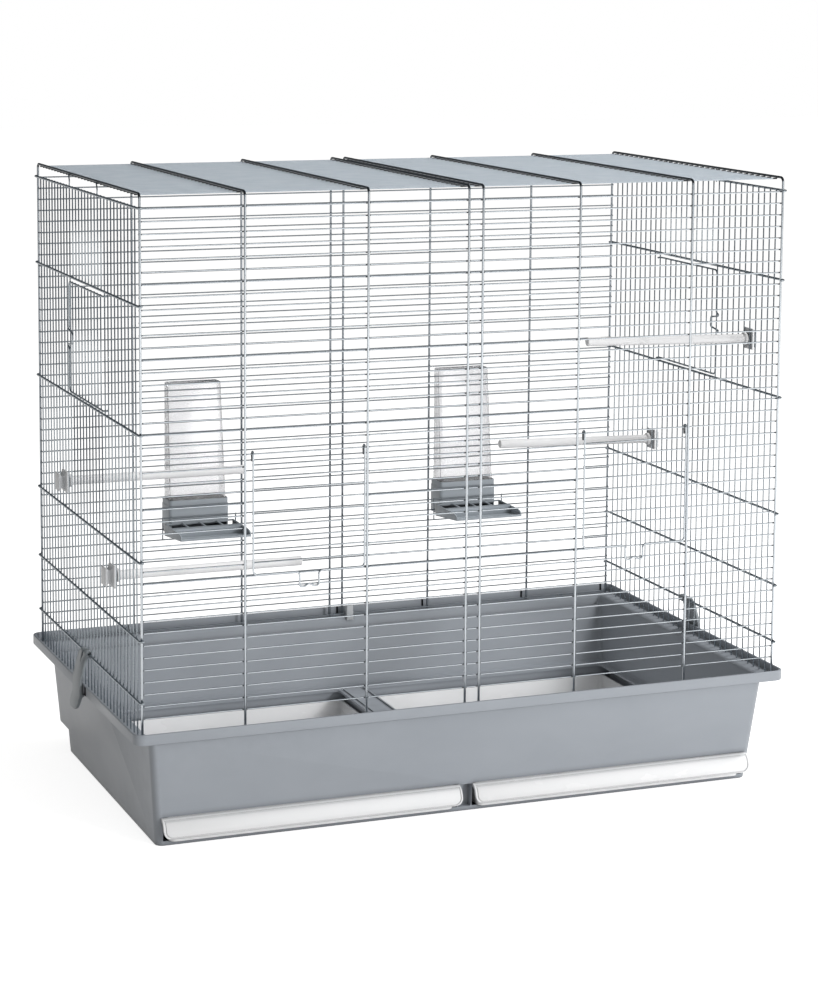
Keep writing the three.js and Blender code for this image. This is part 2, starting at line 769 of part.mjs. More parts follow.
function trough(middle, floor) {
  const half = trayWidth / 2;
  const whole = through(cheekShape(floor, 0), "x", middle - half, middle + half, curveSteps);
  const room = half - feederWall;
  const inside = through(cheekShape(floor, feederWall), "x", middle - room, middle + room, curveSteps);
  const top = floor + trayHeight;
  const bridgeFront = feederFront - trayGridReach - trayBridge;
  const front = block(
    vec(middle - room, feederFront - trayReach, floor + trayRise + trayLip),
    vec(middle + room, bridgeFront, top + cutOver),
  );
  const skirt = block(
    vec(middle - room - feederWall / 2, bridgeFront, top - trayBridgeDrop),
    vec(middle + room + feederWall / 2, bridgeFront + feederWall, top),
  );
  let body = whole.subtract(inside).subtract(front).add(skirt);
  const gap = (2 * room - trayBars * trayBar) / (trayBars + 1);
  for (let slot = 0; slot <= trayBars; slot++) {
    const left = middle - room + slot * (gap + trayBar);
    body = body.subtract(block(
      vec(left, feederFront - trayGridReach, top - 2 * feederWall),
      vec(left + gap, feederFront - trayBar, top + cutOver),
    ));
  }
  return body;
}

// Where the grain runs from the box into the trough.
function mouth(middle, floor) {
  const half = feederWidth / 2 - 2 * feederWall;
  const behind = feederFront + 2 * feederWall + feederBandStep;
  return block(
    vec(middle - half, feederFront - feederWall, floor + 2 * feederWall),
    vec(middle + half, behind, floor + trayHeight - 2 * feederWall),
  );
}

// A clear hopper, sloping in front and closed at the top.
function hopper(side) {
  const middle = side * feederPlace;
  const low = rimTop + feederTop - hopperSink;
  const rear = feederFront + feederDepth - feederBandStep - feederWall - touchGap + hopperLean;
  const front = rear - hopperTopDepth;
  const half = hopperTopWidth / 2;
  const box = { left: middle - half, right: middle + half, front, back: rear };
  const widening = (hopperTopWidth - hopperFootWidth) / 2;
  const spread = { x: widening, back: hopperLean, front: hopperTopDepth - hopperFootDepth - hopperLean };
  const top = low + hopperHeight;
  const outer = tapered(box, spread, low, top, hopperCorner, smallCornerSteps);
  const corner = hopperCorner - hopperWall;
  const room = grown(box, -hopperWall);
  const inner = tapered(room, spread, low - cutOver, top - hopperWall, corner, smallCornerSteps);
  const ventTop = top - ventDrop;
  const vent = block(
    vec(middle - ventWidth / 2, front - cutOver, ventTop - ventHeight),
    vec(middle + ventWidth / 2, front + hopperWall + cutOver, ventTop),
  );
  return outer.subtract(inner).subtract(vent);
}

// Perches

const perchPlaces = [
  { name: "left_rear", side: -1, gap: 6, height: perchLeftRear },
  { name: "left_front", side: -1, gap: -9, height: perchLeftFront },
  { name: "right_front", side: 1, gap: -11, height: perchRightFront },
  { name: "right_rear", side: 1, gap: 7, height: perchRightRear },
].map((place) => ({ ...place, y: (place.gap + 0.5) * uprightPitch, z: rimTop + place.height }));

// Lathe round the perch's own axis, then laid along X.
function turned(profile, place, from) {
  const points = profile.map(([radius, along]) => new THREE.Vector2(radius, along));
  const geometry = new THREE.LatheGeometry(points, roundSides);
  geometry.rotateZ(Math.PI / 2).scale(-1, 1, 1);
  const upright = flippedIndexed(geometry);
  if (place.side > 0) upright.rotateZ(Math.PI);
  return solid(upright.translate(from, place.y, place.z));
}

function flippedIndexed(geometry) {
  const index = geometry.index;
  for (let i = 0; i < index.count; i += 3) {
    const first = index.getX(i);
    index.setX(i, index.getX(i + 1));
    index.setX(i + 1, first);
  }
  return geometry;
}

// A round rod with a collar inside the panel and a neck between its wires.
function perch(place) {
  const inside = place.side * (panelPlane - thinRidge - touchGap);
  const neckLength = 2 * (thinRidge + touchGap);
  return turned([
    [0, -neckLength],
    [perchNeck, -neckLength],
    [perchNeck, 0],
    [perchCollar / 2, 0],
    [perchCollar / 2, perchCollarWidth],
    [perchWire / 2, perchCollarWidth],
    [perchWire / 2, perchLength],
    [0, perchLength],
  ], place, inside);
}

// Half the cap's outline, away from the panel: a plate, a waist to hold it by and a grip.
function capOutline(half) {
  const grip = half - capGripInset;
  const pinch = half - capGripInset - 2 * capNeck;
  return new THREE.Shape()
    .moveTo(0, -half)
    .lineTo(capPlate, -half)
    .quadraticCurveTo(capDepth / 2, -pinch, capDepth - capPlate, -grip)
    .lineTo(capDepth, -grip)
    .lineTo(capDepth, grip)
    .lineTo(capDepth - capPlate, grip)
    .quadraticCurveTo(capDepth / 2, pinch, capPlate, half)
    .lineTo(0, half);
}

// The cap outside the panel, with the same waist seen from the side and from above.
function perchCap(place) {
  const upright = through(capOutline(capHeight / 2), "y", -capWidth, capWidth, curveSteps);
  const across = through(capOutline(capWidth / 2), "z", -capHeight, capHeight, curveSteps);
  const cap = upright.intersect(across);
  const turnedCap = place.side > 0 ? cap : cap.rotate([0, 0, 180]);
  const face = panelPlane + thinRidge + 2 * touchGap;
  return turnedCap.translate([place.side * face, place.y, place.z]);
}

// Side clips

// A lever that curls round the foot rod, passes the rim and hooks under it.
function sideClip(side) {
  const rodX = rodPlane;
  const rodZ = rimTop + footRod;
  const inner = thickRidge + touchGap;
  const outer = inner + curlWall;
  const rimX = rimBox.right + touchGap * 3;
  const lipTop = rimTop - rimSkirt - touchGap * 2;
  const tabEnd = lipTop - tabDrop;
  const lever = new THREE.Shape([
    [rodX + inner, rodZ],
    [rimX, rimTop + clipWall],
    [rimX, lipTop],
    [rimX - touchGap * 3 - clipLip, lipTop],
    [rimX - touchGap * 3 - clipLip, lipTop - clipLipWall],
    [rimX, lipTop - 2 * clipLipWall],
    [rimX + tabFlare - clipWall, tabEnd],
    [rimX + tabFlare, tabEnd],
    [rimX + clipWall + touchGap, lipTop - clipLipWall],
    [rimX + clipWall, rimTop + clipWall],
    [rodX + outer, rodZ],
  ].map(([x, z]) => new THREE.Vector2(x, z)));
  const plate = through(lever, "y", -clipWidth / 2, clipWidth / 2);
  const outline = new THREE.Shape();
  const half = clipWidth / 2;
  outline.moveTo(-half, rodZ + cutOver);
  outline.lineTo(-half, tabEnd + tabCorner);
  outline.absarc(-half + tabCorner, tabEnd + tabCorner, tabCorner, Math.PI, Math.PI * 1.5);
  outline.absarc(half - tabCorner, tabEnd + tabCorner, tabCorner, Math.PI * 1.5, Math.PI * 2);
  outline.lineTo(half, rodZ + cutOver);
  let clip = plate.intersect(through(outline, "x", 0, rimX + tabFlare + cutOver, curveSteps));
  for (const end of [-1, 1]) {
    const middle = (end * uprightPitch) / 2;
    const curl = new THREE.Shape();
    const stop = Math.PI * 2 * (1 - curlMouthShare);
    curl.absarc(rodX, rodZ, outer, 0, stop, false);
    curl.absarc(rodX, rodZ, inner, stop, 0, true);
    const ring = through(curl, "y", middle - curlWidth / 2, middle + curlWidth / 2, curlSteps);
    clip = clip.add(ring);
  }
  return side > 0 ? clip : clip.rotate([0, 0, 180]);
}

// Rear clip

// A small clip inside the back wires that hooks over the funnel's edge.
function rearClip() {
  const overWire = halfDepth - thinRidge - touchGap;
  const edge = funnelBox.back - touchGap;
  const low = shelfTop - shelfRound - rearClipDrop;
  const foot = edge - (rearClipDrop * funnelTaperBack) / (shelfTop - funnelFloor);
  const top = rimTop + rearClipRise;
  const shape = new THREE.Shape([
    [overWire, shelfTop + touchGap],
    [overWire, top],
    [edge - rearClipWall, top],
    [foot - rearClipWall, low],
    [foot, low],
    [edge, shelfTop - shelfRound],
    [edge, shelfTop + touchGap],
  ].map(([y, z]) => new THREE.Vector2(y, z)));
  return through(shape, "x", rearClipPlace - rearClipWidth / 2, rearClipPlace + rearClipWidth / 2);
}

// Materials

const zinc = () => new THREE.MeshStandardMaterial({ color: 0x9aa5ad, roughness: 0.35, metalness: 0.85 });
const greyPlastic = () => new THREE.MeshStandardMaterial({ color: 0x9ba1a8, roughness: 0.5, metalness: 0 });
const whitePlastic = () => new THREE.MeshStandardMaterial({ color: 0xf4f5f6, roughness: 0.35, metalness: 0 });
const darkPlastic = () => new THREE.MeshStandardMaterial({ color: 0x7e868e, roughness: 0.45, metalness: 0 });
const clearPlastic = () => new THREE.MeshStandardMaterial({
  color: 0xe8e4e4, roughness: 0.15, metalness: 0, transparent: true, opacity: 0.4,
});

const cage = new THREE.Group();
cage.add(mesh("base", base(), greyPlastic()));
cage.add(mesh("front_grille", frontGrille(), zinc()));
cage.add(mesh("back_grille", backGrille(), zinc()));
cage.add(mesh("top_grille", topGrille(), zinc()));
for (const [side, hand] of [[-1, "left"], [1, "right"]]) {
  cage.add(mesh(`${hand}_panel`, sidePanel(side), zinc()));
  cage.add(mesh(`front_door_${hand}`, frontDoor(side), zinc()));
  cage.add(mesh(`side_door_${hand}`, sideDoor(side), zinc()));
  cage.add(mesh(`drawer_${hand}`, drawer(side), whitePlastic()));
  cage.add(mesh(`feeder_${hand}`, feeder(side), darkPlastic()));
  cage.add(mesh(`hopper_${hand}`, hopper(side), clearPlastic()));
  cage.add(mesh(`side_clip_${hand}`, sideClip(side), darkPlastic()));
}
for (const place of perchPlaces) {
  cage.add(mesh(`perch_${place.name}`, perch(place), whitePlastic()));
  cage.add(mesh(`perch_cap_${place.name}`, perchCap(place), whitePlastic()));
}
cage.add(mesh("rear_clip", rearClip(), clearPlastic()));

export default cage;
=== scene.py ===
import bmesh
import bpy
import math
import random
from mathutils import Vector, Matrix


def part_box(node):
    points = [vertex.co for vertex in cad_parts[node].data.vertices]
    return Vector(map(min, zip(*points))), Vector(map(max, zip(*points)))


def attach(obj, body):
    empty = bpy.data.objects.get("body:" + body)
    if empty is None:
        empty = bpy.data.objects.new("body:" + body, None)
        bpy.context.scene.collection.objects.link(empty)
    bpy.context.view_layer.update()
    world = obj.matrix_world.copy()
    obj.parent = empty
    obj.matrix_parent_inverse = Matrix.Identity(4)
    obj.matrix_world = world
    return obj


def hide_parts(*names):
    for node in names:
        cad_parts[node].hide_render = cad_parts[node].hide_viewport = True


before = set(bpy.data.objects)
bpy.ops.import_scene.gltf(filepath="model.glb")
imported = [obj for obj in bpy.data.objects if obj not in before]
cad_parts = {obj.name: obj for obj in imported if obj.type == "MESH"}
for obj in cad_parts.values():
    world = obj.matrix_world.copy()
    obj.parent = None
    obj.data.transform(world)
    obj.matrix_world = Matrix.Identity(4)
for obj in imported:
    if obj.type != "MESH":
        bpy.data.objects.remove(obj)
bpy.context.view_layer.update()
random.seed(11)

mm = 0.001
sides = {"left": -1, "right": 1}

# the wire cage in millimetres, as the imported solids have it; a wire is given by its radius
cage = {
    "halfWidth": 430, "halfDepth": 250, "height": 648, "rimTop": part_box("base")[1][2] / mm,
    "levelPitch": 15.05, "uprightPitch": 15.6, "levels": 43, "uprights": 32,
    "hoops": [-430, -300, -142, -9.5, 9.5, 142, 300, 430], "rods": [36, 112, 208, 362.5, 517, 633.5],
    "hoopWire": 1.6, "thinWire": 0.95, "doorWire": 1.25, "weld": 0.2, "gap": 0.3,
    "solidWire": 1.19, "solidFrame": 1.5,  # the solids' level wires and door frames are thicker
    "footEnd": 142.8, "footLevel": 144.7,
}
wireShape = {"endSoft": 0.3, "bendRoom": 0.49, "around": 8, "doorAround": 10, "hoopAround": 12}
uprightCounts = range(1 - cage["uprights"] // 2, cage["uprights"] // 2)


def levelHeight(level):
    return cage["footLevel"] if level == 0 else cage["rimTop"] + level * cage["levelPitch"]


# mesh helpers

def makeObject(name, verts, faces, material, smooth=True):
    mesh = bpy.data.meshes.new(name)
    mesh.from_pydata([Vector(v) * mm for v in verts], [], faces)
    mesh.validate()
    obj = bpy.data.objects.new(name, mesh)
    bpy.context.scene.collection.objects.link(obj)
    mesh.materials.append(material)
    if smooth:
        mesh.shade_smooth()
    return obj


def arcPath(middle, start, axis, angle, steps):
    middle, start, axis = Vector(middle), Vector(start), Vector(axis)
    return [middle + Matrix.Rotation(angle * i / steps, 3, axis) @ start for i in range(steps + 1)]


def bentPath(corners, radius, steps=5):
    # straight runs with each inner corner rounded
    corners = [Vector(c) for c in corners]
    path = [corners[0]]
    for i in range(1, len(corners) - 1):
        back, on = corners[i - 1] - corners[i], corners[i + 1] - corners[i]
        room = min(back.length, on.length) * wireShape["bendRoom"]
        back, on = back.normalized(), on.normalized()
        half = back.angle(on) / 2
        bend = radius[i - 1] if isinstance(radius, tuple) else radius
        bend = min(bend, room * math.tan(half))
        middle = corners[i] + (back + on).normalized() * (bend / math.sin(half))
        start = corners[i] + back * (bend / math.tan(half)) - middle
        end = corners[i] + on * (bend / math.tan(half)) - middle
        path += arcPath(middle, start, start.cross(end).normalized(), start.angle(end), steps)
    path.append(corners[-1])
    return path


def addWire(verts, faces, path, radius, around):
    # a round wire along a path, with softened ends
    path = [Vector(p) for p in path]
    runs = [(b - a).normalized() for a, b in zip(path, path[1:])]
    first, last = runs[0], runs[-1]
    soft = radius * wireShape["endSoft"]
    stations = [(path[0], first, radius - soft), (path[0] + first * soft, first, radius)]
    for point, into, out in zip(path[1:], runs, runs[1:]):
        stations.append((point, (into + out).normalized(), radius))
    stations += [(path[-1] - last * soft, last, radius), (path[-1], last, radius - soft)]
    side, offset = first.orthogonal().normalized(), len(verts)
    for point, along, size in stations:
        side = (side - along * side.dot(along)).normalized()
        other = along.cross(side)
        for k in range(around):
            turn = 2 * math.pi * k / around
            verts.append(point + (side * math.cos(turn) + other * math.sin(turn)) * size)
    for ring in range(len(stations) - 1):
        low, high = offset + ring * around, offset + (ring + 1) * around
        for k in range(around):
            n = (k + 1) % around
            faces.append((low + k, low + n, high + n, high + k))
    end = offset + (len(stations) - 1) * around
    faces.append(tuple(offset + k for k in reversed(range(around))))
    faces.append(tuple(end + k for k in range(around)))


def wireObject(name, wires, material, body, replaced):
    # wires is a list of (path, radius, points around)
    verts, faces = [], []
    for wire in wires:
        addWire(verts, faces, *wire)
    obj = makeObject(name, verts, faces, material)
    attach(obj, body)
    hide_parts(*replaced)
    return obj


def roundedRing(left, right, front, back, radius, z, steps=6):
    # points round a rectangle with round corners, anticlockwise from above
    ring = []
    for cx, cy, start in ((right - radius, back - radius, 0), (left + radius, back - radius, 90),
                          (left + radius, front + radius, 180), (right - radius, front + radius, 270)):
        for step in range(steps + 1):
            turn = math.radians(start + 90 * step / steps)
            ring.append((cx + radius * math.cos(turn), cy + radius * math.sin(turn), z))
    return ring


def loft(rings):
    # a closed skin over rings of points
    verts = [p for ring in rings for p in ring]
    count, faces = len(rings[0]), []
    for low in range(0, len(verts) - count, count):
        for k in range(count):
            n = (k + 1) % count
            faces.append((low + k, low + n, low + count + n, low + count + k))
    faces.append(tuple(reversed(range(count))))
    faces.append(tuple(range(len(verts) - count, len(verts))))
    return verts, faces


def prism(outline, axis, start, stop):
    # a flat outline pushed through along an axis; outline points are (y, z), (x, z) or (x, y)
    def place(point, along):
        a, b = point
        return {"x": (along, a, b), "y": (a, along, b), "z": (a, b, along)}[axis]
    return loft([[place(p, start) for p in outline], [place(p, stop) for p in outline]])


def bakeModifiers(obj):
    graph = bpy.context.evaluated_depsgraph_get()
    mesh = bpy.data.meshes.new_from_object(obj.evaluated_get(graph))
    old = obj.data
    obj.modifiers.clear()
    obj.data = mesh
    bpy.data.meshes.remove(old)


def fixNormals(obj):
    shape = bmesh.new()
    shape.from_mesh(obj.data)
    bmesh.ops.recalc_face_normals(shape, faces=shape.faces)
    shape.to_mesh(obj.data)
    shape.free()


def cutWith(obj, tool, operation="DIFFERENCE"):
    change = obj.modifiers.new("cut", "BOOLEAN")
    change.operation = operation
    change.solver = "EXACT"
    change.object = tool
    bakeModifiers(obj)
    bpy.data.objects.remove(tool)


def cut(obj, shapes, operation="DIFFERENCE"):
    # boolean with throw-away closed shapes, each (verts, faces)
    for shape in shapes:
        cutWith(obj, mouldedPiece("tool", shape, obj.data.materials[0]), operation)


def smoothSides(obj, angle=50):
    obj.data.shade_smooth()
    obj.data.set_sharp_from_angle(angle=math.radians(angle))


def softenEdges(obj, width, segments=2, angle=40):
    bevel = obj.modifiers.new("edges", "BEVEL")
    bevel.width = width * mm
    bevel.segments = segments
    bevel.limit_method = "ANGLE"
    bevel.angle_limit = math.radians(angle)
    bakeModifiers(obj)
    smoothSides(obj)


# shader groups shared by the finishes

finish = {
    "wearGain": 9, "shadeRays": 8, "grainDepth": 0.0002, "coatRoughness": 0.12,
    "cloudRange": (-0.3, 1.3), "speckBump": 0.25, "speckDepth": 0.0001, "clearCurve": 2,
}


def setInputs(node, **values):
    for label, value in values.items():
        node.inputs[label.replace("_", " ")].default_value = value
    return node


def addNode(tree, kind, **values):
    return setInputs(tree.nodes.new("ShaderNode" + kind), **values)


def addMath(tree, operation, value=None, clamp=False):
    node = addNode(tree, "Math")
    node.operation, node.use_clamp = operation, clamp
    if value is not None:
        node.inputs[1].default_value = value
    return node


def joinNodes(tree, *joints):
    # each joint is (node, output, node, input)
    for source, output, target, entry in joints:
        tree.links.new(source.outputs[output], target.inputs[entry])


def newGroup(name, inputs, outputs):
    group = bpy.data.node_groups.new(name, "ShaderNodeTree")
    kinds = {"Colour": "NodeSocketColor"}
    for label, value in inputs.items():
        kind = kinds.get(label, "NodeSocketFloat")
        group.interface.new_socket(label, in_out="INPUT", socket_type=kind).default_value = value
    for label in outputs:
        kind = kinds.get(label, "NodeSocketFloat")
        group.interface.new_socket(label, in_out="OUTPUT", socket_type=kind)
    return group, group.nodes.new("NodeGroupInput"), group.nodes.new("NodeGroupOutput")


def buildMouldGrain():
    # soft mottle of moulded plastic and the fine texture of its mould
    group, entry, result = newGroup("mouldGrain", {"Mottle Scale": 9.0, "Grain Scale": 900.0, "Flow": 0.4},
                                    ["Mottle", "Grain"])
    place = addNode(group, "TexCoord")
    mottle = addNode(group, "TexNoise", Detail=4)
    grain = addNode(group, "TexNoise", Detail=2)
    stretch = addNode(group, "Mapping", Scale=(1, 1, 2.2))
    soften = addNode(group, "MapRange", From_Min=0.3, From_Max=0.7)
    joinNodes(
        group, (place, "Object", stretch, "Vector"), (stretch, "Vector", mottle, "Vector"),
        (entry, "Mottle Scale", mottle, "Scale"), (entry, "Flow", mottle, "Distortion"),
        (place, "Object", grain, "Vector"), (entry, "Grain Scale", grain, "Scale"),
        (mottle, "Fac", soften, "Value"), (soften, "Result", result, "Mottle"),
        (grain, "Fac", result, "Grain"))
    return group


def buildEdgeWear():
    # pale rubbed edges, from the surface's own convexity
    group, entry, result = newGroup("edgeWear", {"Threshold": 0.53, "Breakup": 60.0}, ["Wear"])
    shape, place, noise = (addNode(group, kind) for kind in ("NewGeometry", "TexCoord", "TexNoise"))
    above = addMath(group, "SUBTRACT")
    spread = addMath(group, "MULTIPLY", finish["wearGain"])
    broken = addMath(group, "MULTIPLY", clamp=True)
    joinNodes(
        group, (shape, "Pointiness", above, 0), (entry, "Threshold", above, 1), (above, 0, spread, 0),
        (place, "Object", noise, "Vector"), (entry, "Breakup", noise, "Scale"), (spread, 0, broken, 0),
        (noise, "Fac", broken, 1), (broken, 0, result, "Wear"))
    return group


def buildPlating():
    # cloudy zinc plating with fine specks
    group, entry, result = newGroup("plating", {"Cloud Scale": 35.0, "Speck Scale": 700.0},
                                    ["Cloud", "Speck"])
    place = addNode(group, "TexCoord")
    cloud = addNode(group, "TexNoise", Detail=5)
    speck = addNode(group, "TexNoise", Detail=1)
    joinNodes(
        group, (place, "Object", cloud, "Vector"), (entry, "Cloud Scale", cloud, "Scale"),
        (place, "Object", speck, "Vector"), (entry, "Speck Scale", speck, "Scale"),
        (cloud, "Fac", result, "Cloud"), (speck, "Fac", result, "Speck"))
    return group


def buildPaintedContactShade():
    # painted shade: the plastic's colour is darkened where two walls meet and under an overhang
    group, entry, result = newGroup("paintedContactShade", {"Reach": 0.008, "Depth": 0.3, "Colour": (1, 1, 1, 1)},
                                    ["Colour"])
    openness = addNode(group, "AmbientOcclusion")
    openness.samples = finish["shadeRays"]
    span = addNode(group, "MapRange")
    mix = addNode(group, "Mix")
    mix.data_type = "RGBA"
    mix.blend_type = "MULTIPLY"
    mix.inputs[0].default_value = 1
    joinNodes(
        group, (entry, "Reach", openness, "Distance"), (openness, "AO", span, "Value"),
        (entry, "Depth", span, "To Min"), (span, "Result", mix, 7), (entry, "Colour", mix, 6),
        (mix, 2, result, "Colour"))
    return group


mouldGrain = buildMouldGrain()
paintedContactShade = buildPaintedContactShade()
edgeWear = buildEdgeWear()
plating = buildPlating()


def startMaterial(name):
    material = bpy.data.materials.new(name)
    material.use_nodes = True
    return material, material.node_tree, material.node_tree.nodes["Principled BSDF"]


def placeGroup(tree, group, **values):
    node = addNode(tree, "Group")
    node.node_tree = group
    return setInputs(node, **values)


def mixColours(tree, factor, low, high):
    mix = addNode(tree, "Mix")
    mix.data_type = "RGBA"
    for index, value in ((6, low), (7, high)):
        if isinstance(value, tuple):
            mix.inputs[index].default_value = (*value, 1)
        else:
            tree.links.new(value, mix.inputs[index])
    tree.links.new(factor, mix.inputs[0])
    return mix.outputs[2]


def spreadRange(tree, value, low, high):
    span = addNode(tree, "MapRange", To_Min=low, To_Max=high)
    tree.links.new(value, span.inputs["Value"])
    return span.outputs["Result"]


def addBump(tree, source, output, strength, distance):
    bump = addNode(tree, "Bump", Strength=strength, Distance=distance)
    shader = tree.nodes["Principled BSDF"]
    joinNodes(tree, (source, output, bump, "Height"), (bump, "Normal", shader, "Normal"))


def plasticMaterial(name, dark, light, worn, rough, grainBump, coat=0.0, see=0.0):
    material, tree, shader = startMaterial(name)
    mould, wear, shade = (placeGroup(tree, group) for group in (mouldGrain, edgeWear, paintedContactShade))
    body = mixColours(tree, mould.outputs["Mottle"], dark, light)
    tree.links.new(mixColours(tree, wear.outputs["Wear"], body, worn), shade.inputs["Colour"])
    # painted shade from the contact-shade group darkens the base colour in corners and under overhangs
    tree.links.new(shade.outputs["Colour"], shader.inputs["Base Color"])
    tree.links.new(spreadRange(tree, mould.outputs["Mottle"], *rough), shader.inputs["Roughness"])
    addBump(tree, mould, "Grain", grainBump, finish["grainDepth"])
    setInputs(shader, Coat_Weight=coat, Coat_Roughness=finish["coatRoughness"], Transmission_Weight=see)
    return material


def zincMaterial(name, dark, light, rough, metal=1.0):
    material, tree, shader = startMaterial(name)
    coat = placeGroup(tree, plating)
    tone = spreadRange(tree, coat.outputs["Cloud"], *finish["cloudRange"])
    tree.links.new(mixColours(tree, tone, dark, light), shader.inputs["Base Color"])
    tree.links.new(spreadRange(tree, coat.outputs["Cloud"], *rough), shader.inputs["Roughness"])
    addBump(tree, coat, "Speck", finish["speckBump"], finish["speckDepth"])
    setInputs(shader, Metallic=metal)
    return material


def clearMaterial(name, face, rim, rough):
    # clear moulding, with painted shade darkening its colour where it is seen edge-on
    material, tree, shader = startMaterial(name)
    mould = placeGroup(tree, mouldGrain, Mottle_Scale=14)
    edge = addNode(tree, "LayerWeight", Blend=0.35)
    curve = addMath(tree, "POWER", finish["clearCurve"])
    joinNodes(tree, (edge, "Facing", curve, 0))
    # painted shade: the colour turns from face to rim as the surface turns edge-on to the view
    tree.links.new(mixColours(tree, curve.outputs[0], face, rim), shader.inputs["Base Color"])
    tree.links.new(spreadRange(tree, mould.outputs["Mottle"], *rough), shader.inputs["Roughness"])
    setInputs(shader, Metallic=0, Transmission_Weight=0.9, Specular_IOR_Level=0.1, IOR=1.35)
    return material


# zinc: dark and light plating, roughness and, for dull wires, the share of metal
zincWire = zincMaterial("zincWire", (0.58, 0.63, 0.67), (0.74, 0.77, 0.80), (0.2, 0.3))
# painted light: a duller, tinted copy of the same zinc, so the roof's level wires read pale
roofPaintedLightZinc = zincMaterial("roofPaintedLightZinc", (0.50, 0.57, 0.63), (0.61, 0.66, 0.71), (0.35, 0.45), 0.35)
# painted shade: a near-black copy of the same zinc for the hoops where they cross the roof
roofHoopPaintedShade = zincMaterial("roofHoopPaintedShade", (0.10, 0.11, 0.12), (0.16, 0.17, 0.18), (0.25, 0.35))
# painted shade: near-black zinc for painted shadows across the hoop crossings and for the door hooks' bent
# ends
paintedShadeMark = zincMaterial("paintedShadeMark", (0.05, 0.055, 0.06), (0.12, 0.13, 0.14), (0.4, 0.5), 0.5)
# painted shade: a darker copy of the same zinc for the side panels and side doors
panelPaintedShadeZinc = zincMaterial("panelPaintedShadeZinc", (0.36, 0.40, 0.43), (0.48, 0.52, 0.55), (0.22, 0.32))
# painted shade: a darker copy of the same zinc for the wires and hoops of the back half
rearPaintedShadeZinc = zincMaterial("rearPaintedShadeZinc", (0.32, 0.35, 0.38), (0.44, 0.47, 0.50), (0.24, 0.34))

# plastic: dark and light mottle, worn edges, roughness and depth of the grain
greyBase = plasticMaterial("greyBase", (0.32, 0.345, 0.38), (0.345, 0.37, 0.405), (0.42, 0.45, 0.49),
                           (0.28, 0.38), 0.12)
deepShade = plasticMaterial("deepShade", (0.012, 0.013, 0.015), (0.02, 0.021, 0.024), (0.03, 0.03, 0.03),
                            (0.6, 0.7), 0.1)
darkFeeder = plasticMaterial("darkFeeder", (0.37, 0.41, 0.45), (0.41, 0.45, 0.49), (0.42, 0.45, 0.48),
                             (0.3, 0.4), 0.1, coat=0.1)
# painted shade: near-black plastic for the feeder box's inside and the room below the grid
feederPaintedShade = plasticMaterial("feederPaintedShade", (0.07, 0.08, 0.09), (0.10, 0.11, 0.12), (0.2, 0.21, 0.22),
                               (0.4, 0.5), 0.1)
clipGrey = plasticMaterial("clipGrey", (0.26, 0.29, 0.31), (0.31, 0.34, 0.36), (0.42, 0.45, 0.48),
                           (0.3, 0.42), 0.1)
capWhite = plasticMaterial("capWhite", (0.72, 0.74, 0.76), (0.80, 0.81, 0.83), (0.9, 0.9, 0.9),
                           (0.28, 0.4), 0.1)
whiteDrawer = plasticMaterial("whiteDrawer", (0.86, 0.87, 0.88), (0.90, 0.90, 0.91), (0.9, 0.9, 0.9),
                              (0.2, 0.3), 0.06, coat=0.3)
perchWhite = plasticMaterial("perchWhite", (0.88, 0.88, 0.89), (0.92, 0.92, 0.93), (0.95, 0.95, 0.95),
                             (0.32, 0.42), 0.12)
frostedClip = plasticMaterial("frostedClip", (0.66, 0.69, 0.72), (0.74, 0.77, 0.79), (0.85, 0.85, 0.86),
                              (0.35, 0.45), 0.1, see=0.35)
# painted shade: the dark second colour is for the hopper's walls seen edge-on
clearHopper = clearMaterial("clearHopper", (0.92, 0.92, 0.93), (0.18, 0.19, 0.21), (0.16, 0.24))


# the wire mat: front, roof and back in one piece, with eight hoops outside the level wires

wireMat = {
    "hoopBend": 6, "hoopSteps": 6, "endPast": 1.3, "waver": 0.1, "paintedShadeMark": 3.2, "roofPaintedShadeMark": 5,
    "doorLevels": range(13, 22), "trayLevel": 9, "postPast": 1, "slack": 0.1, "roofSlack": 2,
}
hoopPlane = cage["halfDepth"] + cage["hoopWire"] + cage["thinWire"] - cage["weld"]
feeders = {
    "place": 204.5, "width": 87, "depth": 41, "floor": 278, "top": 326.5, "wall": 1.6, "corner": 5,
    "soft": 0.5, "edge": 0.35, "band": 8, "bandStep": 0.6, "slack": 0.1, "portPost": 2.9,
    "trayWidth": 101, "trayReach": 81.5, "cheek": 17, "rise": 8, "round": 22, "lip": 3,
    "bars": 3, "bar": 2.2, "gridReach": 31, "gridCorner": 1.5, "bridge": 12, "bridgeDrop": 11.5,
}
portReach = feeders["trayWidth"] / 2 + feeders["portPost"]


def waver():
    return random.uniform(-1, 1) * wireMat["waver"]


def levelWire(left, right, y, z, past=wireMat["endPast"], mark=wireMat["paintedShadeMark"]):
    # stations beside each hoop make the painted shadow marks faces of their own
    left, right = left - past, right + past
    marks = [x + end * mark for x in cage["hoops"] for end in (-1, 1)]
    path = [left] + [x for x in marks if left < x < right] + [right]
    return [(x, y, z) for x in path], cage["thinWire"], wireShape["around"]


def uprightWire(x, y, low, high):
    return [(x, y, low), (x, y, high)], cage["thinWire"], wireShape["around"]


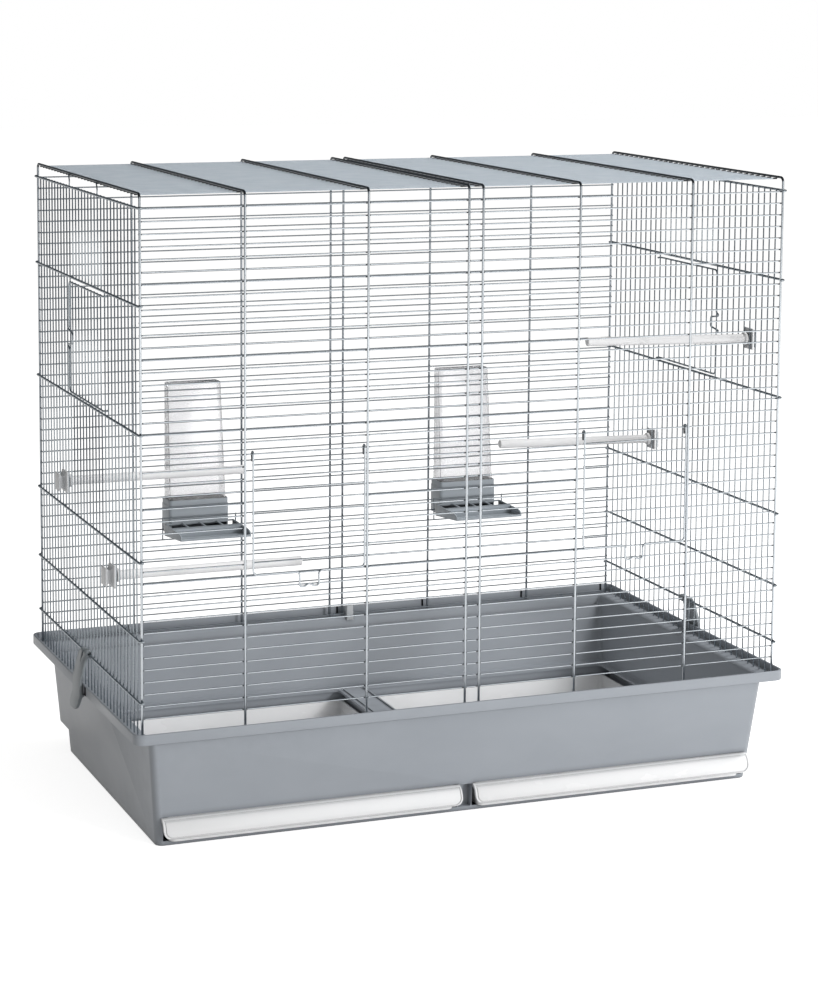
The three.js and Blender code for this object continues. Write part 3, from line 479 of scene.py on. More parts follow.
def matWires():
    wires, hoops, depth = [], cage["hoops"], cage["halfDepth"]
    roof, foot = cage["rimTop"] + cage["height"], cage["footEnd"]
    top = roof + hoopPlane - depth
    for x in hoops:
        corners = [(x, -hoopPlane, foot), (x, -hoopPlane, top), (x, hoopPlane, top), (x, hoopPlane, foot)]
        path = bentPath(corners, wireMat["hoopBend"], wireMat["hoopSteps"])
        wires.append((path, cage["hoopWire"], wireShape["hoopAround"]))
    ports = [side * feeders["place"] for side in sides.values()]
    whole = [(hoops[0], hoops[7])]
    besideDoors = [(hoops[0], hoops[1]), (hoops[2], hoops[5]), (hoops[6], hoops[7])]
    besideTrays = [(hoops[0], ports[0] - portReach), (ports[0] + portReach, ports[1] - portReach),
                   (ports[1] + portReach, hoops[7])]
    for level in range(cage["levels"]):
        z = levelHeight(level)
        for left, right in besideDoors if level in wireMat["doorLevels"] else whole:
            wires.append(levelWire(left, right, -depth, z))
        for left, right in besideTrays if level == wireMat["trayLevel"] else whole:
            wires.append(levelWire(left, right, depth, z))
    y = depth + 2 * cage["thinWire"] - cage["weld"]
    low, high = (levelHeight(wireMat["trayLevel"] + end) + end * wireMat["postPast"] for end in (-1, 1))
    for port in ports:
        for end in (-1, 1):
            wires.append(uprightWire(port + end * portReach, y, low, high))
    for count in uprightCounts:
        y = count * cage["uprightPitch"]
        wires.append(levelWire(hoops[0], hoops[7], y, roof, mark=wireMat["roofPaintedShadeMark"]))
    return wires


def buildMat():
    obj = wireObject("wireMat", matWires(), zincWire, "cage", ["front_grille", "back_grille", "top_grille"])
    for material in (rearPaintedShadeZinc, roofPaintedLightZinc, roofHoopPaintedShade, paintedShadeMark):
        obj.data.materials.append(material)
    bands = 2 * (wireMat["hoopSteps"] + 1) + 3
    hoopFaces = len(cage["hoops"]) * (wireShape["hoopAround"] * bands + 2)
    for face in obj.data.polygons:
        x, y, z = face.center / mm
        onRoof = z > cage["rimTop"] + cage["height"] - wireMat["roofSlack"]
        atHoop = min(abs(x - hoop) for hoop in cage["hoops"]) < wireMat["paintedShadeMark"] - wireMat["slack"]
        if face.index < hoopFaces:
            # painted shade: roof hoops near-black, hoops of the back half the darker copy
            face.material_index = 3 if onRoof else int(y > 0)
        # painted shadow: dark marks across each hoop crossing on the front and roof level wires
        elif atHoop and (onRoof or y < 0):
            face.material_index = 4
        else:
            # painted light on the roof's level wires, painted shade on the back half's wires
            face.material_index = 2 if onRoof else int(y > 0)


buildMat()
print("wire mat ready")


# the side panels: uprights inside six cross rods, with a doorway cut in

panel = {
    "rodOut": 3.1, "rodPast": 0.1, "hookIn": 2, "rodBend": 2.6, "rodSteps": 4, "waverHeight": 450,
    "braces": (75, -64), "braceTop": 2, "braceLean": 5, "braceBack": 2, "braceFoot": 3, "braceBend": 6,
}
sideDoor = {
    "hinge": 6, "stop": 5, "free": 72, "edge": 6.5, "sill": 4.5, "past": 1, "curlTurn": 207,
    "catchHeight": 13, "catchReach": 16, "catchHook": 9, "catchStep": 4, "catchRise": 71,
    "bends": (6, 3, 2, 3, 3, 2, 3, 6),
}
rodPlane = cage["halfWidth"] + panel["rodOut"]  # cross rods outside the corner hoops
uprightPlane = rodPlane - cage["hoopWire"] - cage["thinWire"] + cage["weld"]
doorReach = cage["solidWire"] + cage["solidFrame"] + cage["gap"]  # from the wire that a door turns on


def panelWires(side):
    wires, past = [], wireMat["endPast"]
    x, hook = side * rodPlane, side * (cage["halfWidth"] - panel["hookIn"])
    end = hoopPlane + 2 * cage["hoopWire"] + panel["rodPast"]
    for height in cage["rods"]:
        z = cage["rimTop"] + height
        corners = [(hook, -end, z), (x, -end, z), (x, end, z), (hook, end, z)]
        path = bentPath(corners, panel["rodBend"], panel["rodSteps"])
        wires.append((path, cage["hoopWire"], wireShape["hoopAround"]))
    high, low = cage["rimTop"] + cage["height"], cage["rimTop"] + cage["rods"][5]
    x = side * (cage["halfWidth"] + cage["hoopWire"] + cage["thinWire"])
    for brace in panel["braces"]:
        corners = [(x, brace, high + panel["braceTop"]), (x, brace - panel["braceLean"], (high + low) / 2),
                   (x, brace - panel["braceBack"], low - panel["braceFoot"])]
        wires.append((bentPath(corners, panel["braceBend"]), cage["thinWire"], wireShape["around"]))
    x, foot = side * uprightPlane, cage["footEnd"]
    ends = ((3, past), (4, -past), (5, past))
    sill, head, top = (cage["rimTop"] + cage["rods"][rod] + more for rod, more in ends)
    for count in uprightCounts:
        y = count * cage["uprightPitch"]
        if -sideDoor["stop"] < side * count < sideDoor["hinge"]:
            wires += [uprightWire(x, y, foot, sill), uprightWire(x, y, head, top)]
        else:
            path = [(x, y, foot), (x, y + waver(), panel["waverHeight"]), (x, y, top)]
            wires.append((path, cage["thinWire"], wireShape["around"]))
    return wires


# front doors hang on a level wire by their hooked frame ends

frontDoor = {
    "place": 221, "width": 144, "shift": 3.2, "rise": 1.7, "foot": 12, "past": 0.9,
    "hinge": 22, "hingeOut": 0.15, "hookStart": 1, "hookTurn": 186, "hookTail": 9, "paintedShadeFrom": 0.5,
    "pullWidth": 25, "pullDrop": 19, "pullHump": 4, "humpPart": 2.2, "bends": (5, 5, 4, 4, 5, 4, 4, 5, 5),
}


def frontDoorWires(side):
    middle = side * frontDoor["place"] + frontDoor["shift"]
    hinge = (-cage["halfDepth"] - frontDoor["hingeOut"], levelHeight(frontDoor["hinge"]))
    y, top = hinge[0] - doorReach, hinge[1] - frontDoor["hookStart"]
    foot = levelHeight(frontDoor["foot"]) + frontDoor["rise"]
    half, pull = frontDoor["width"] / 2, frontDoor["pullWidth"] / 2
    low, hump = foot - frontDoor["pullDrop"], pull / frontDoor["humpPart"]
    hooks, turn = [], math.radians(frontDoor["hookTurn"])
    tail = Vector((0, math.sin(turn), math.cos(turn))) * frontDoor["hookTail"]
    for end in (-1, 1):
        hook = arcPath((middle + end * half, *hinge), (0, -doorReach, 0), (-1, 0, 0), turn, 10)
        hooks.append(hook + [hook[-1] + tail])
    outline = [(-half, top), (-half, foot), (-pull, foot), (-pull, low), (-hump, low),
               (0, low + frontDoor["pullHump"]), (hump, low), (pull, low), (pull, foot), (half, foot),
               (half, top)]
    run = bentPath([(middle + x, y, z) for x, z in outline], frontDoor["bends"], 6)
    wires = [(hooks[0][::-1] + run + hooks[1], cage["doorWire"], wireShape["doorAround"])]
    inside = y + cage["doorWire"] + cage["thinWire"] - cage["weld"]
    for level in wireMat["doorLevels"]:
        z = levelHeight(level) + frontDoor["rise"]
        wires.append(levelWire(middle - half, middle + half, inside, z, frontDoor["past"]))
    return wires


def paintShadeOnHookEnds(obj):
    # painted shade: the bent ends behind the hinge wire get the near-black zinc
    obj.data.materials.append(paintedShadeMark)
    for face in obj.data.polygons:
        if face.center[1] / mm > -cage["halfDepth"] + frontDoor["paintedShadeFrom"]:
            face.material_index = 1


# side doors turn on an upright, with a curl round it at each end of the frame

def sideDoorWires(side):
    hinge = (side * uprightPlane, side * sideDoor["hinge"] * cage["uprightPitch"])
    x, past = hinge[0] + side * doorReach, sideDoor["past"]
    start, free = hinge[1] - side * past, -side * sideDoor["free"]
    low = cage["rimTop"] + cage["rods"][3] + sideDoor["sill"]
    high = cage["rimTop"] + cage["rods"][4] - sideDoor["edge"]
    middle, turn = low + sideDoor["catchRise"], math.radians(sideDoor["curlTurn"])
    half, step = sideDoor["catchHeight"] / 2, sideDoor["catchStep"]
    hook, loop = free - side * sideDoor["catchHook"], free + side * sideDoor["catchReach"]
    curls = [arcPath((*hinge, z), (side * doorReach, 0, 0), (0, 0, 1), turn, 10) for z in (low, high)]
    outline = [(start, low), (free, low), (free, middle - half - 2 * step), (hook, middle - half - step),
               (loop, middle - half), (loop, middle + half), (hook, middle + half + step),
               (free, middle + half + 2 * step), (free, high), (start, high)]
    run = bentPath([(x, y, z) for y, z in outline], sideDoor["bends"], 6)
    wires = [(curls[0][::-1] + run + curls[1], cage["doorWire"], wireShape["doorAround"])]
    inside = x - side * (cage["doorWire"] + cage["thinWire"] - cage["weld"])
    for count in range(1 - sideDoor["stop"], sideDoor["hinge"]):
        wires.append(uprightWire(inside, side * count * cage["uprightPitch"], low - past, high + past))
    return wires


for hand, side in sides.items():
    front, door = "front_door_" + hand, "side_door_" + hand
    wireObject(hand + "PanelWires", panelWires(side), panelPaintedShadeZinc, "cage", [hand + "_panel"])
    paintShadeOnHookEnds(wireObject("frontDoor_" + hand, frontDoorWires(side), zincWire, front, [front]))
    wireObject("sideDoor_" + hand, sideDoorWires(side), panelPaintedShadeZinc, door, [door])
print("panels and doors ready")


# shapes that the moulded pieces share

def mouldedPiece(name, shape, material):
    obj = makeObject(name, *shape, material, smooth=False)
    fixNormals(obj)
    return obj


def placePiece(obj, body, node):
    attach(obj, body)
    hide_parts(node)


def softSteps(count):
    # shares of a round edge's radius along a quarter turn: the first falls to 0 as the second grows to 1
    turns = [math.pi / 2 * k / count for k in range(count + 1)]
    return [(1 - math.sin(turn), 1 - math.cos(turn)) for turn in turns]


def flatArc(middle, radius, start, stop, steps):
    turns = [math.radians(start + (stop - start) * k / steps) for k in range(steps + 1)]
    return [(middle[0] + radius * math.cos(a), middle[1] + radius * math.sin(a)) for a in turns]


def flatCurve(start, control, end, steps=8):
    points = []
    for t in (k / steps for k in range(1, steps + 1)):
        shares = ((1 - t) ** 2, 2 * t * (1 - t), t * t)
        points.append(tuple(sum(p[i] * s for p, s in zip((start, control, end), shares)) for i in (0, 1)))
    return points


def boxShape(low, high):
    (x0, y0, z0), (x1, y1, z1) = low, high
    return prism([(x0, y0), (x1, y0), (x1, y1), (x0, y1)], "z", z0, z1)


def mirrored(shape, side):
    verts, faces = shape
    return [(x * side, y, z) for x, y, z in verts], faces


# the moulded base: one skin from the foot over the rim and down the funnel, then cut

base = {
    "rimX": 443, "rimY": 267, "rimFoot": 139, "rimCorner": 14, "rimWall": 3.5, "shelf": 142.5, "soft": 1.2,
    "bodyX": 420, "bodyY": 249, "bodyCorner": 10, "taper": 13, "taperBack": 3, "taperFront": 18, "wall": 3,
    "shelfRound": 6, "funnelTaper": 15, "funnelBack": 42, "funnelFront": 28, "floor": 52.5, "floorRound": 5,
    "stepY": 192, "stepZ": 31.5, "post": 10, "bayX": 399, "bayDepth": 24, "sill": 6, "bayTop": 37.5,
    "divider": 20, "groove": 5, "grooveDepth": 1.5,
    "holeX": 390, "holeFront": -206, "holeBack": 184, "holeCorner": 7,
    "runner": 6, "runnerShares": (0.15, 0.5, 0.85), "rib": 34, "ribDrop": 14, "notch": 2.6, "notchGap": 3.4,
    "slotFrom": -33, "slotTo": -17, "slotFoot": 139.5, "slotDepth": 2.4, "slotSkin": 0.2, "slotRoom": 3,
    "postEdge": 1.5, "postDepth": 8, "cut": 2, "topSkin": 1, "edge": 0.5, "slack": 0.1,
}


def bodyRing(z, inset=0):
    # the body's outline at a height, from its tapers
    low = 1 - z / (base["shelf"] - base["wall"])
    x = base["bodyX"] - base["taper"] * low - inset
    front = -base["bodyY"] + base["taperFront"] * low + inset
    back = base["bodyY"] - base["taperBack"] * low - inset
    return roundedRing(-x, x, front, back, base["bodyCorner"] - inset, z)


def rimRing(inset, z):
    x, y = base["rimX"] - inset, base["rimY"] - inset
    return roundedRing(-x, x, -y, y, base["rimCorner"] - inset, z)


def funnelRing(z, grow=0):
    # steep at the sides, leaning in front and most of all behind
    top = base["shelf"] - base["shelfRound"]
    low = max(0, (top - z) / (top - base["floor"]))
    x = base["bodyX"] - base["wall"] - base["funnelTaper"] * low + grow
    y = base["bodyY"] - base["wall"] + grow
    corner = base["bodyCorner"] - base["wall"] + grow / 2
    return roundedRing(-x, x, -y + base["funnelFront"] * low, y - base["funnelBack"] * low, corner, z)


def baseSkin():
    soft, edge, wall, turn = base["soft"], base["shelfRound"], base["rimWall"], base["floorRound"]
    foot, shelf, top, fine = base["rimFoot"], base["shelf"], cage["rimTop"], softSteps(3)
    rings = [bodyRing(soft * c, soft * s) for s, c in fine] + [bodyRing(foot)]
    rings += [rimRing(soft * s, foot + soft * c) for s, c in fine]
    rings += [rimRing(soft * c, top - soft * s) for s, c in fine]
    rings += [rimRing(wall - soft * s, top - soft * c) for s, c in fine]
    rings += [rimRing(wall + soft * c, shelf + soft * s) for s, c in fine]
    rings += [funnelRing(shelf - edge * c, edge * s) for s, c in fine]
    rings += [funnelRing(base["floor"] + turn * s, -turn * c) for s, c in fine]
    return loft(rings)


def underFunnel():
    # the room between the funnel and the outer walls, less the bays' back wall and the post
    wall, over = base["wall"], base["cut"]
    low, high = base["floor"] - wall, base["shelf"] - wall
    room = mouldedPiece("room", loft([bodyRing(wall, wall), bodyRing(high, wall)]), greyBase)
    funnel = []
    for z, outline in ((low, base["floor"]), (base["shelf"] + over, base["shelf"])):
        funnel.append([(point[0], point[1], z) for point in funnelRing(outline, wall)])
    cut(room, [
        loft(funnel),
        boxShape((-base["post"], -base["rimY"], 0), (base["post"], base["stepY"], low)),
        boxShape((-base["rimX"], base["stepY"] - wall, 0), (base["rimX"], base["stepY"], base["floor"])),
    ])
    return room


def baseOpenings(side):
    # a drawer bay, the opening in the floor above it and a groove along the divider
    over, floor, front = base["cut"], base["floor"], -base["bodyY"]
    near, far = sorted((side * base["post"], side * base["bayX"]))
    bay = boxShape((near, front - over, base["sill"]), (far, front + base["bayDepth"], base["bayTop"]))
    near, far = sorted((side * base["divider"], side * base["holeX"]))
    hole = loft([roundedRing(near, far, base["holeFront"], base["holeBack"], base["holeCorner"], z)
                 for z in (floor - base["wall"] - over, floor + over)])
    middle, half = side * (base["divider"] - base["groove"]), base["groove"] / 2
    groove = boxShape((middle - half, base["holeFront"], floor - base["grooveDepth"]),
                      (middle + half, base["holeBack"], floor + over))
    return [bay, hole, groove]


def rearNotches():
    # clearance in the rear upstand beside each hoop's foot
    inner, half, shapes = base["rimY"] - base["rimWall"], base["notch"] / 2, []
    for x in cage["hoops"]:
        middle = x - math.copysign(base["notchGap"], x)
        shapes.append(boxShape((middle - half, inner - base["cut"], base["shelf"]),
                               (middle + half, inner + base["notch"], cage["rimTop"] + base["cut"])))
    return shapes


def shadeRecesses(obj):
    # nothing behind the notches and the slots beside the side clips is lit
    obj.data.materials.append(deepShade)
    inner = base["rimY"] - base["rimWall"] + base["slack"]
    outer = base["rimY"] - base["edge"] - base["slack"]
    slotIn, slotOut = base["rimX"] - base["slotRoom"], base["rimX"] - base["slotSkin"]
    slotLow, top = base["slotFoot"] - base["edge"], cage["rimTop"]
    for face in obj.data.polygons:
        x, y, z = face.center / mm
        near = min(abs(x - hoop + math.copysign(base["notchGap"], hoop)) for hoop in cage["hoops"])
        inNotch = near < base["notch"] and inner < y < outer and base["shelf"] < z < top - base["topSkin"]
        inSlot = base["slotFrom"] < y < base["slotTo"] and slotIn < abs(x) < slotOut and slotLow < z < top
        face.material_index = int(inNotch or inSlot)


def latchSlot(side):
    # recess in the rim beside each side clip
    near, far = sorted((side * (base["rimX"] - base["slotDepth"]), side * (base["rimX"] + base["cut"])))
    top = cage["rimTop"] - base["topSkin"]
    return boxShape((near, base["slotFrom"], base["slotFoot"]), (far, base["slotTo"], top))


def postRecess():
    # the post between the drawers stands back from the front wall
    half, front, top = base["post"] - base["postEdge"], -base["bodyY"], base["bayTop"] - base["topSkin"]
    return boxShape((-half, front - base["cut"], base["sill"]),
                    (half, front + base["taperFront"] + base["postDepth"], top))


def baseRibs(side):
    # runners in the drawer bay and the small rib beside the side clip
    shapes, half, skin = [], base["runner"] / 2, base["wall"] / 2
    front = -base["bodyY"] + base["taperFront"]
    for share in base["runnerShares"]:
        x = side * (base["post"] + share * (base["bayX"] - base["post"]))
        shapes.append(boxShape((x - half, front + skin, skin),
                               (x + half, base["stepY"] - skin, base["sill"])))
    wall, top = base["bodyX"] - skin, base["rimFoot"] + skin
    outline = [(wall, top), (wall, top - base["ribDrop"]), (wall + base["wall"], top - base["ribDrop"]),
               (base["rimX"] - skin, top)]
    shapes.append(mirrored(prism(outline, "y", -base["rib"] - skin, -base["rib"] + skin), side))
    return shapes


def buildBase():
    obj = mouldedPiece("baseShell", baseSkin(), greyBase)
    cutWith(obj, underFunnel())
    rimX, rimY = base["rimX"], base["rimY"]
    step = boxShape((-rimX, base["stepY"], -base["cut"]), (rimX, rimY, base["stepZ"]))
    cut(obj, [step] + baseOpenings(-1) + baseOpenings(1) + rearNotches())
    cut(obj, [latchSlot(-1), latchSlot(1), postRecess()])
    cut(obj, baseRibs(-1) + baseRibs(1), "UNION")
    softenEdges(obj, base["edge"])
    shadeRecesses(obj)
    placePiece(obj, "cage", "base")


buildBase()
print("base ready")


# litter drawers: a tray and a curved scoop across its front

drawer = {
    "low": 6.3, "height": 30, "wall": 2.5, "gap": 3, "taper": 4, "corner": 8, "back": 186, "soft": 0.8,
    "lipTop": 37.2, "lipFoot": 12.7, "lipBack": -236.1, "lipFace": -250.1, "lipWall": 2.4, "lipCorner": 11,
    "lipEnd": 402.5, "lipPost": 9, "lipPast": 1, "groove": 1.4, "grooveIn": 2, "grooveDepth": 1,
    "edge": 0.35,
}


def trayRing(side, z, inset):
    shrink = drawer["taper"] * (1 - (z - drawer["low"]) / drawer["height"]) + inset
    left, right = sorted((side * (base["post"] + drawer["gap"]), side * (base["bayX"] - drawer["gap"])))
    front, back = drawer["lipBack"] - drawer["wall"] + inset, drawer["back"] - shrink
    return roundedRing(left + shrink, right - shrink, front, back, drawer["corner"] - inset, z)


def trayShape(side):
    low, wall, soft, fine = drawer["low"], drawer["wall"], drawer["soft"], softSteps(2)
    top = low + drawer["height"]
    rings = [trayRing(side, low + soft * c, soft * s) for s, c in fine]
    rings += [trayRing(side, top - soft * s, soft * c) for s, c in fine]
    rings += [trayRing(side, top - soft * c, wall - soft * s) for s, c in fine]
    rings += [trayRing(side, low + wall + soft * s, wall + soft * c) for s, c in fine]
    return loft(rings)


def lipProfile(shift=0):
    # side view of the scoop: a bright sloping top, then a curve out and down to its foot
    back, face, wall = drawer["lipBack"], drawer["lipFace"] + shift, drawer["lipWall"]
    top, foot = drawer["lipTop"], drawer["lipFoot"]
    start, inner = (back + shift, top), (face + 2 * wall, foot + wall)
    front = [start] + flatCurve(start, (face, top - wall), (face, foot + wall))
    if shift:
        return front + [(face, foot - wall), (back + 2 * wall, foot - wall), (back + 2 * wall, top)]
    rear = flatCurve(inner, (inner[0], top - 2 * wall), (back, top - 2 * wall))
    return front + [(face + wall, foot), inner] + rear


def lipOutline(side, inset=0):
    left, right = sorted((side * drawer["lipPost"], side * drawer["lipEnd"]))
    left, right, foot = left + inset, right - inset, drawer["lipFoot"] + inset
    top = drawer["lipTop"] + (base["cut"] if inset == 0 else -inset)
    corner = drawer["lipCorner"] - inset
    return ([(left, top)] + flatArc((left + corner, foot + corner), corner, 180, 270, 8)
            + flatArc((right - corner, foot + corner), corner, 270, 360, 8) + [(right, top)])


def buildDrawer(hand, side):
    past = drawer["lipPast"]
    left, right = sorted((side * (drawer["lipPost"] - past), side * (drawer["lipEnd"] + past)))
    obj = mouldedPiece("drawerTray_" + hand, prism(lipProfile(), "x", left, right), whiteDrawer)
    near, far = drawer["lipFace"] - base["cut"], drawer["lipBack"] + 2 * base["cut"]
    cut(obj, [prism(lipOutline(side), "y", near, far)], "INTERSECT")
    outer, inner = (lipOutline(side, drawer["grooveIn"] + width) for width in (0, drawer["groove"]))
    groove = mouldedPiece("groove", prism(outer, "y", near, far), whiteDrawer)
    cut(groove, [prism(inner, "y", near - past, far + past),
                 prism(lipProfile(drawer["grooveDepth"]), "x", left - past, right + past)])
    cutWith(obj, groove)
    softenEdges(obj, drawer["edge"])
    cut(obj, [trayShape(side)], "UNION")
    smoothSides(obj)
    placePiece(obj, "drawer_" + hand, "drawer_" + hand)


for hand, side in sides.items():
    buildDrawer(hand, side)
print("drawers ready")


# feeders: a box behind the wires and a trough with a grid that reaches in

feederFront = cage["halfDepth"] + cage["solidWire"] + cage["gap"]


def feederRing(middle, z, inset):
    half, corner = feeders["width"] / 2 - inset, feeders["corner"] - inset
    front, back = feederFront + inset, feederFront + feeders["depth"] - inset
    return roundedRing(middle - half, middle + half, front, back, corner, z)


def feederBox(middle):
    floor, top, wall, soft = feeders["floor"], feeders["top"], feeders["wall"], feeders["soft"]
    step, band, fine = feeders["bandStep"], top - feeders["band"], softSteps(2)
    inner = step + wall
    rings = [feederRing(middle, floor + 2 * soft * c, 2 * soft * s) for s, c in fine]
    rings += [feederRing(middle, band - soft / 2, 0), feederRing(middle, band, step)]
    rings += [feederRing(middle, top - soft * s, step + soft * c) for s, c in fine]
    rings += [feederRing(middle, top - soft * c, inner - soft * s) for s, c in fine]
    rings += [feederRing(middle, floor + wall + 2 * soft * s, inner + 2 * soft * c) for s, c in fine]
    return loft(rings)


def cheekShape(floor, inset):
    # side view of the trough: level on top, then a quarter round down to the tip
    back, top = feederFront + feeders["wall"], floor + feeders["cheek"] - inset
    tip, lip = back - feeders["trayReach"] + inset, floor + feeders["rise"] + feeders["lip"]
    start = (tip - inset + feeders["round"], top)
    return ([(back, floor + inset), (back, top), start] + flatCurve(start, (tip, top), (tip, lip))
            + [(tip, floor + feeders["rise"] + inset)])


def troughShapes(middle):
    floor, wall, bar = feeders["floor"], feeders["wall"], feeders["bar"]
    half, top, over = feeders["trayWidth"] / 2, floor + feeders["cheek"], base["cut"]
    room, grid = half - wall, feederFront - feeders["gridReach"]
    bridge = grid - feeders["bridge"]
    whole = prism(cheekShape(floor, 0), "x", middle - half, middle + half)
    skirt = boxShape((middle - room - wall / 2, bridge, top - feeders["bridgeDrop"]),
                     (middle + room + wall / 2, bridge + wall, top))
    tip = (middle - room, feederFront - feeders["trayReach"], floor + feeders["rise"] + feeders["lip"])
    opened = [prism(cheekShape(floor, wall), "x", middle - room, middle + room),
              boxShape(tip, (middle + room, bridge, top + over))]
    gap = (2 * room - feeders["bars"] * bar) / (feeders["bars"] + 1)
    back, corner = feederFront - bar, feeders["gridCorner"]
    for slot in range(feeders["bars"] + 1):
        left = middle - room + slot * (gap + bar)
        opened.append(loft([roundedRing(left, left + gap, grid, back, corner, z, 3)
                            for z in (top - 2 * wall, top + over)]))
    return whole, skirt, opened


def shadeInside(obj, middle):
    # the box's inside and the room below the grid are in deep shade
    obj.data.materials.append(feederPaintedShade)
    wall, floor, step = feeders["wall"] - feeders["slack"], feeders["floor"], feeders["bandStep"]
    half, room = feeders["width"] / 2 - step, feeders["trayWidth"] / 2
    bridge = feederFront - feeders["gridReach"] - feeders["bridge"] + 2 * wall
    for face in obj.data.polygons:
        x, y, z = face.center / mm
        x = abs(x - middle)
        inBox = (x < half - wall and feederFront + step + wall < y < feederFront + feeders["depth"] - wall
                 and floor + wall < z < feeders["top"] - step)
        below = (x < room - wall and bridge < y < feederFront
                 and floor + wall < z < floor + feeders["cheek"] - wall)
        if inBox or below:
            face.material_index = 1


def buildFeeder(hand, side):
    middle, wall, floor = side * feeders["place"], feeders["wall"], feeders["floor"]
    whole, skirt, opened = troughShapes(middle)
    obj = mouldedPiece("feederBox_" + hand, whole, darkFeeder)
    cut(obj, opened)
    cut(obj, [skirt, feederBox(middle)], "UNION")
    half, back = feeders["width"] / 2 - 2 * wall, feederFront + 2 * wall + feeders["bandStep"]
    cut(obj, [boxShape((middle - half, feederFront - wall, floor + 2 * wall),
                       (middle + half, back, floor + feeders["cheek"] - 2 * wall))])
    softenEdges(obj, feeders["edge"])
    shadeInside(obj, middle)
    placePiece(obj, "cage", "feeder_" + hand)


# hoppers: thin clear shells, sloping in front and open below

hopper = {
    "low": 314.5, "height": 175, "topWidth": 78, "footWidth": 82, "topDepth": 22, "footDepth": 36,
    "lean": 4, "wall": 1.6, "corner": 5, "soft": 1.6, "ventWidth": 26, "ventHeight": 3, "ventDrop": 8,
}


def hopperRing(middle, z, inset):
    low = 1 - (z - hopper["low"]) / hopper["height"]
    half = (hopper["topWidth"] + (hopper["footWidth"] - hopper["topWidth"]) * low) / 2 - inset
    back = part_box("hopper_left")[1][1] / mm - hopper["lean"] * low - inset
    front = back - hopper["topDepth"] * (1 - low) - hopper["footDepth"] * low
    return roundedRing(middle - half, middle + half, front + 2 * inset, back, hopper["corner"] - inset, z)


def buildHopper(hand, side):
    middle, wall, soft, fine = side * feeders["place"], hopper["wall"], hopper["soft"], softSteps(3)
    low, top = hopper["low"], hopper["low"] + hopper["height"]
    rings = [hopperRing(middle, top - wall - soft * c / 2, wall + soft * s / 2) for s, c in fine]
    rings += [hopperRing(middle, low, wall), hopperRing(middle, low, 0)]
    rings += [hopperRing(middle, top - soft * s, soft * c) for s, c in fine]
    obj = mouldedPiece("hopperShell_" + hand, loft(rings), clearHopper)
    vent, half = top - hopper["ventDrop"], hopper["ventWidth"] / 2
    front = hopperRing(middle, vent, 0)[-1][1]
    cut(obj, [boxShape((middle - half, front - base["cut"], vent - hopper["ventHeight"]),
                       (middle + half, front + wall + base["cut"], vent))])
    smoothSides(obj)
    placePiece(obj, "hopper_" + hand, "hopper_" + hand)


for hand, side in sides.items():
    buildFeeder(hand, side)
    buildHopper(hand, side)
print("feeders ready")


# perches with a collar, and the caps that hold them from outside the panel

perch = {
    "thick": 12, "collar": 17, "collarWidth": 4, "chamfer": 0.6, "fillet": 0.8, "neck": 5, "neckLength": 3,
    "soft": 1.5, "clear": 0.3, "point": 0.05, "around": 24,
    "capWidth": 26, "capHeight": 28, "plate": 2.5, "waist": 4, "grip": 2.5, "capEdge": 0.8,
}
perchPlaces = [
    {"name": "left_rear", "side": -1, "gap": 6, "height": 243, "rise": 0, "length": 243, "depth": 13},
    {"name": "left_front", "side": -1, "gap": -9, "height": 167, "rise": 0, "length": 243, "depth": 13},
    {"name": "right_front", "side": 1, "gap": -11, "height": 429, "rise": 6, "length": 234, "depth": 8},
    {"name": "right_rear", "side": 1, "gap": 7, "height": 246, "rise": 6, "length": 234, "depth": 8},
]


def perchMiddle(place):
    return (place["gap"] + 0.5) * cage["uprightPitch"], cage["rimTop"] + place["height"]


def buildPerch(place):
    inside = uprightPlane - cage["thinWire"] - cage["gap"] - perch["clear"]
    thick, collar, width = perch["thick"] / 2, perch["collar"] / 2, perch["collarWidth"]
    soft, chamfer, fillet = perch["soft"], perch["chamfer"], perch["fillet"]
    neck, start = perch["neck"], -perch["neckLength"]
    profile = [(perch["point"], start), (neck, start), (neck, 0), (collar - chamfer, 0), (collar, chamfer),
               (collar, width - fillet), (collar - fillet, width), (thick + chamfer, width),
               (thick, width + fillet)]
    profile += [(thick - soft * c, place["length"] - soft * s) for s, c in softSteps(4)]
    y, z = perchMiddle(place)
    turns = [2 * math.pi * k / perch["around"] for k in range(perch["around"])]
    rings = []
    for radius, along in profile:
        x, lift = place["side"] * (inside - along), place["rise"] * max(along, 0) / place["length"]
        rings.append([(x, y + radius * math.cos(a), z + lift + radius * math.sin(a)) for a in turns])
    obj = mouldedPiece("perchBar_" + place["name"], loft(rings), perchWhite)
    smoothSides(obj, 40)
    placePiece(obj, "cage", "perch_" + place["name"])


def capOutline(size, depth):
    # a spool seen from the side: a plate, a waist to hold it by and a grip
    half, plate = size / 2, perch["plate"]
    grip, pinch = half - perch["grip"], half - perch["grip"] - 2 * perch["waist"]
    upper = [(0, half), (plate, half)] + flatCurve((plate, half), (depth / 2, pinch), (depth - plate, grip))
    upper.append((depth, grip))
    return upper + [(x, -y) for x, y in reversed(upper)]


def buildCap(place):
    side, width, height = place["side"], perch["capWidth"], perch["capHeight"]
    y, z = perchMiddle(place)
    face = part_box("perch_cap_" + place["name"])[0 if side > 0 else 1][0] / mm
    upright = [(face + side * a, z + b) for a, b in capOutline(height, place["depth"])]
    across = [(face + side * a, y + b) for a, b in capOutline(width, place["depth"])]
    obj = mouldedPiece("perchCap_" + place["name"], prism(upright, "y", y - width, y + width), capWhite)
    cut(obj, [prism(across, "z", z - height, z + height)], "INTERSECT")
    softenEdges(obj, perch["capEdge"], 3)
    placePiece(obj, "cage", "perch_cap_" + place["name"])


for place in perchPlaces:
    buildPerch(place)
    buildCap(place)
print("perches ready")


# side clips: a lever hung on the foot rod by two curls, hooked under the rim

